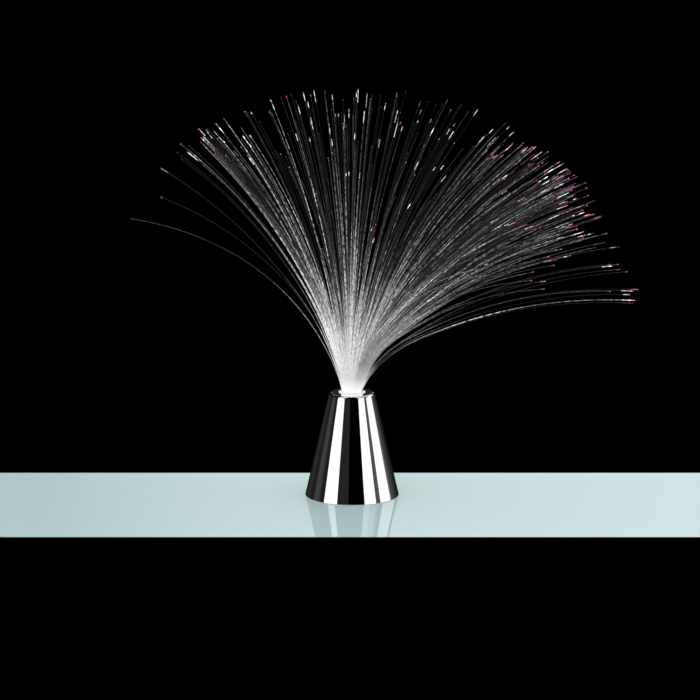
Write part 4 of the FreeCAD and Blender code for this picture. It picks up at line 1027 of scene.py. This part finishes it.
class StrandMesh:
    """Strands gathered into one mesh; every point has its glow, sparkle, magenta tint with painted halo, and
    run.
    """

    def __init__(self):
        self.vertices, self.faces, self.materials, self.uvs = [], [], [], []
        self.values = {"glow": [], "sparkle": [], "tint_and_painted_halo": [], "run": []}
        self.count = 0

    def add_ring(self, centre, ahead, across, radius, *values):
        """One ring of points; returns the index of its first."""
        first = len(self.vertices)
        self.vertices += ring_points(centre, ahead, across, radius, STRAND_SIDES)
        for kept, value in zip(self.values.values(), values):
            kept += [value] * STRAND_SIDES
        return first

    def join_rings(self, first, second, material, share, next_share):
        """The band of faces between two rings, laid out in the strand's own columns."""
        self.faces += band(first, second, STRAND_SIDES)
        self.materials += [material] * STRAND_SIDES
        for side in range(STRAND_SIDES):
            left = self.count + (side + COLUMN_MARGIN) / STRAND_SIDES
            right = self.count + (side + 1 - COLUMN_MARGIN) / STRAND_SIDES
            self.uvs += [(left, share), (right, share), (right, next_share), (left, next_share)]

    def close(self, first, material, outwards, share):
        """The flat end on a ring."""
        ring = list(range(first, first + STRAND_SIDES))
        self.faces.append(tuple(ring if outwards else reversed(ring)))
        self.materials.append(material)
        self.uvs += [(self.count + 0.5, share)] * STRAND_SIDES

    def add_strand(self, corners, glows, rng):
        """A strand along a centre line, with its tip."""
        line = SmoothLine(corners)
        look = StrandLook(lean_deg(corners), line.length, glows, rng)
        across = line.direction(0).orthogonal().normalized()
        swell, before, share_before = 0.0, None, 0.0
        for share in look.ring_shares():
            centre, ahead = line.point(share), line.direction(share)
            across = square_to(ahead, across)
            swell = SWELL_KEPT * swell + rng.gauss(0, SWELL)
            ring = self.add_ring(centre, ahead, across, STRAND_RADIUS, *look.values(share, swell))
            if before is None:
                self.close(ring, FIBRE_SLOT, False, 0)
            else:
                self.join_rings(before, ring, FIBRE_SLOT, share_before, share)
            before, share_before = ring, share
        tip = MAGENTA_SLOT if look.magenta else WHITE_SLOT
        radius = BEAD_RADIUS if look.magenta else STRAND_RADIUS
        for step, size in BEAD_RINGS:
            place = centre + ahead * BEAD_LENGTH * step
            ring = self.add_ring(place, ahead, across, radius * size, 0, 0, 0, look.run_start)
            self.join_rings(before, ring, tip, share_before, 1)
            before, share_before = ring, 1
        self.close(ring, tip, True, 1)
        self.count += 1

    def make(self, name):
        """The mesh object."""
        piece = link_mesh(name, self.vertices, self.faces)
        piece.data.polygons.foreach_set("material_index", self.materials)
        for kind, values in self.values.items():
            piece.data.attributes.new(kind, "FLOAT", "POINT").data.foreach_set("value", values)
        layer = piece.data.uv_layers.new(name="OFBake")
        for corner, (u, v) in zip(layer.data, self.uvs):
            corner.uv = (u / self.count, LAYOUT_MARGIN + (1 - 2 * LAYOUT_MARGIN) * v)
        return piece


def make_spray():
    """The strands: each CAD strand as a smooth round one, with its close companions."""
    rng = random.Random(STRAND_SEED)
    magenta = tip_material("tip_magenta", MAGENTA, TIP_MAGENTA_LEVEL)
    white = tip_material("tip_white", TIP_WHITE, TIP_WHITE_LEVEL)
    for group in range(1, STRAND_GROUPS + 1):
        node = f"fibre_strands_{group}"
        strands = StrandMesh()
        for points in islands(node):
            corners = centre_line(points)
            count, spread_deg, bend_deg, *glows = by_lean(SHEAVES, lean_deg(corners))
            strands.add_strand(corners, glows, rng)
            for _ in range(count):
                strands.add_strand(companion(corners, spread_deg, bend_deg, rng), glows, rng)
        piece = strands.make(f"strands_{group}")
        for material in (MATERIALS["glowing_fibre"], magenta, white):
            piece.data.materials.append(material)
        dress(piece, "glowing_fibre", "spray", node)


make_camera()
make_world()
make_floor()
make_studio()
make_ground()
dress_cad_nodes()
make_housing()
make_neck_ring()
make_foot_ring()
make_screws("case_screws", "base_plate_screws", "base")
make_screws("door_screw", "battery_door_screw", "door")
make_screws("board_screws_detailed", "board_screws", "base")
make_cells()
make_springs()
make_spray()
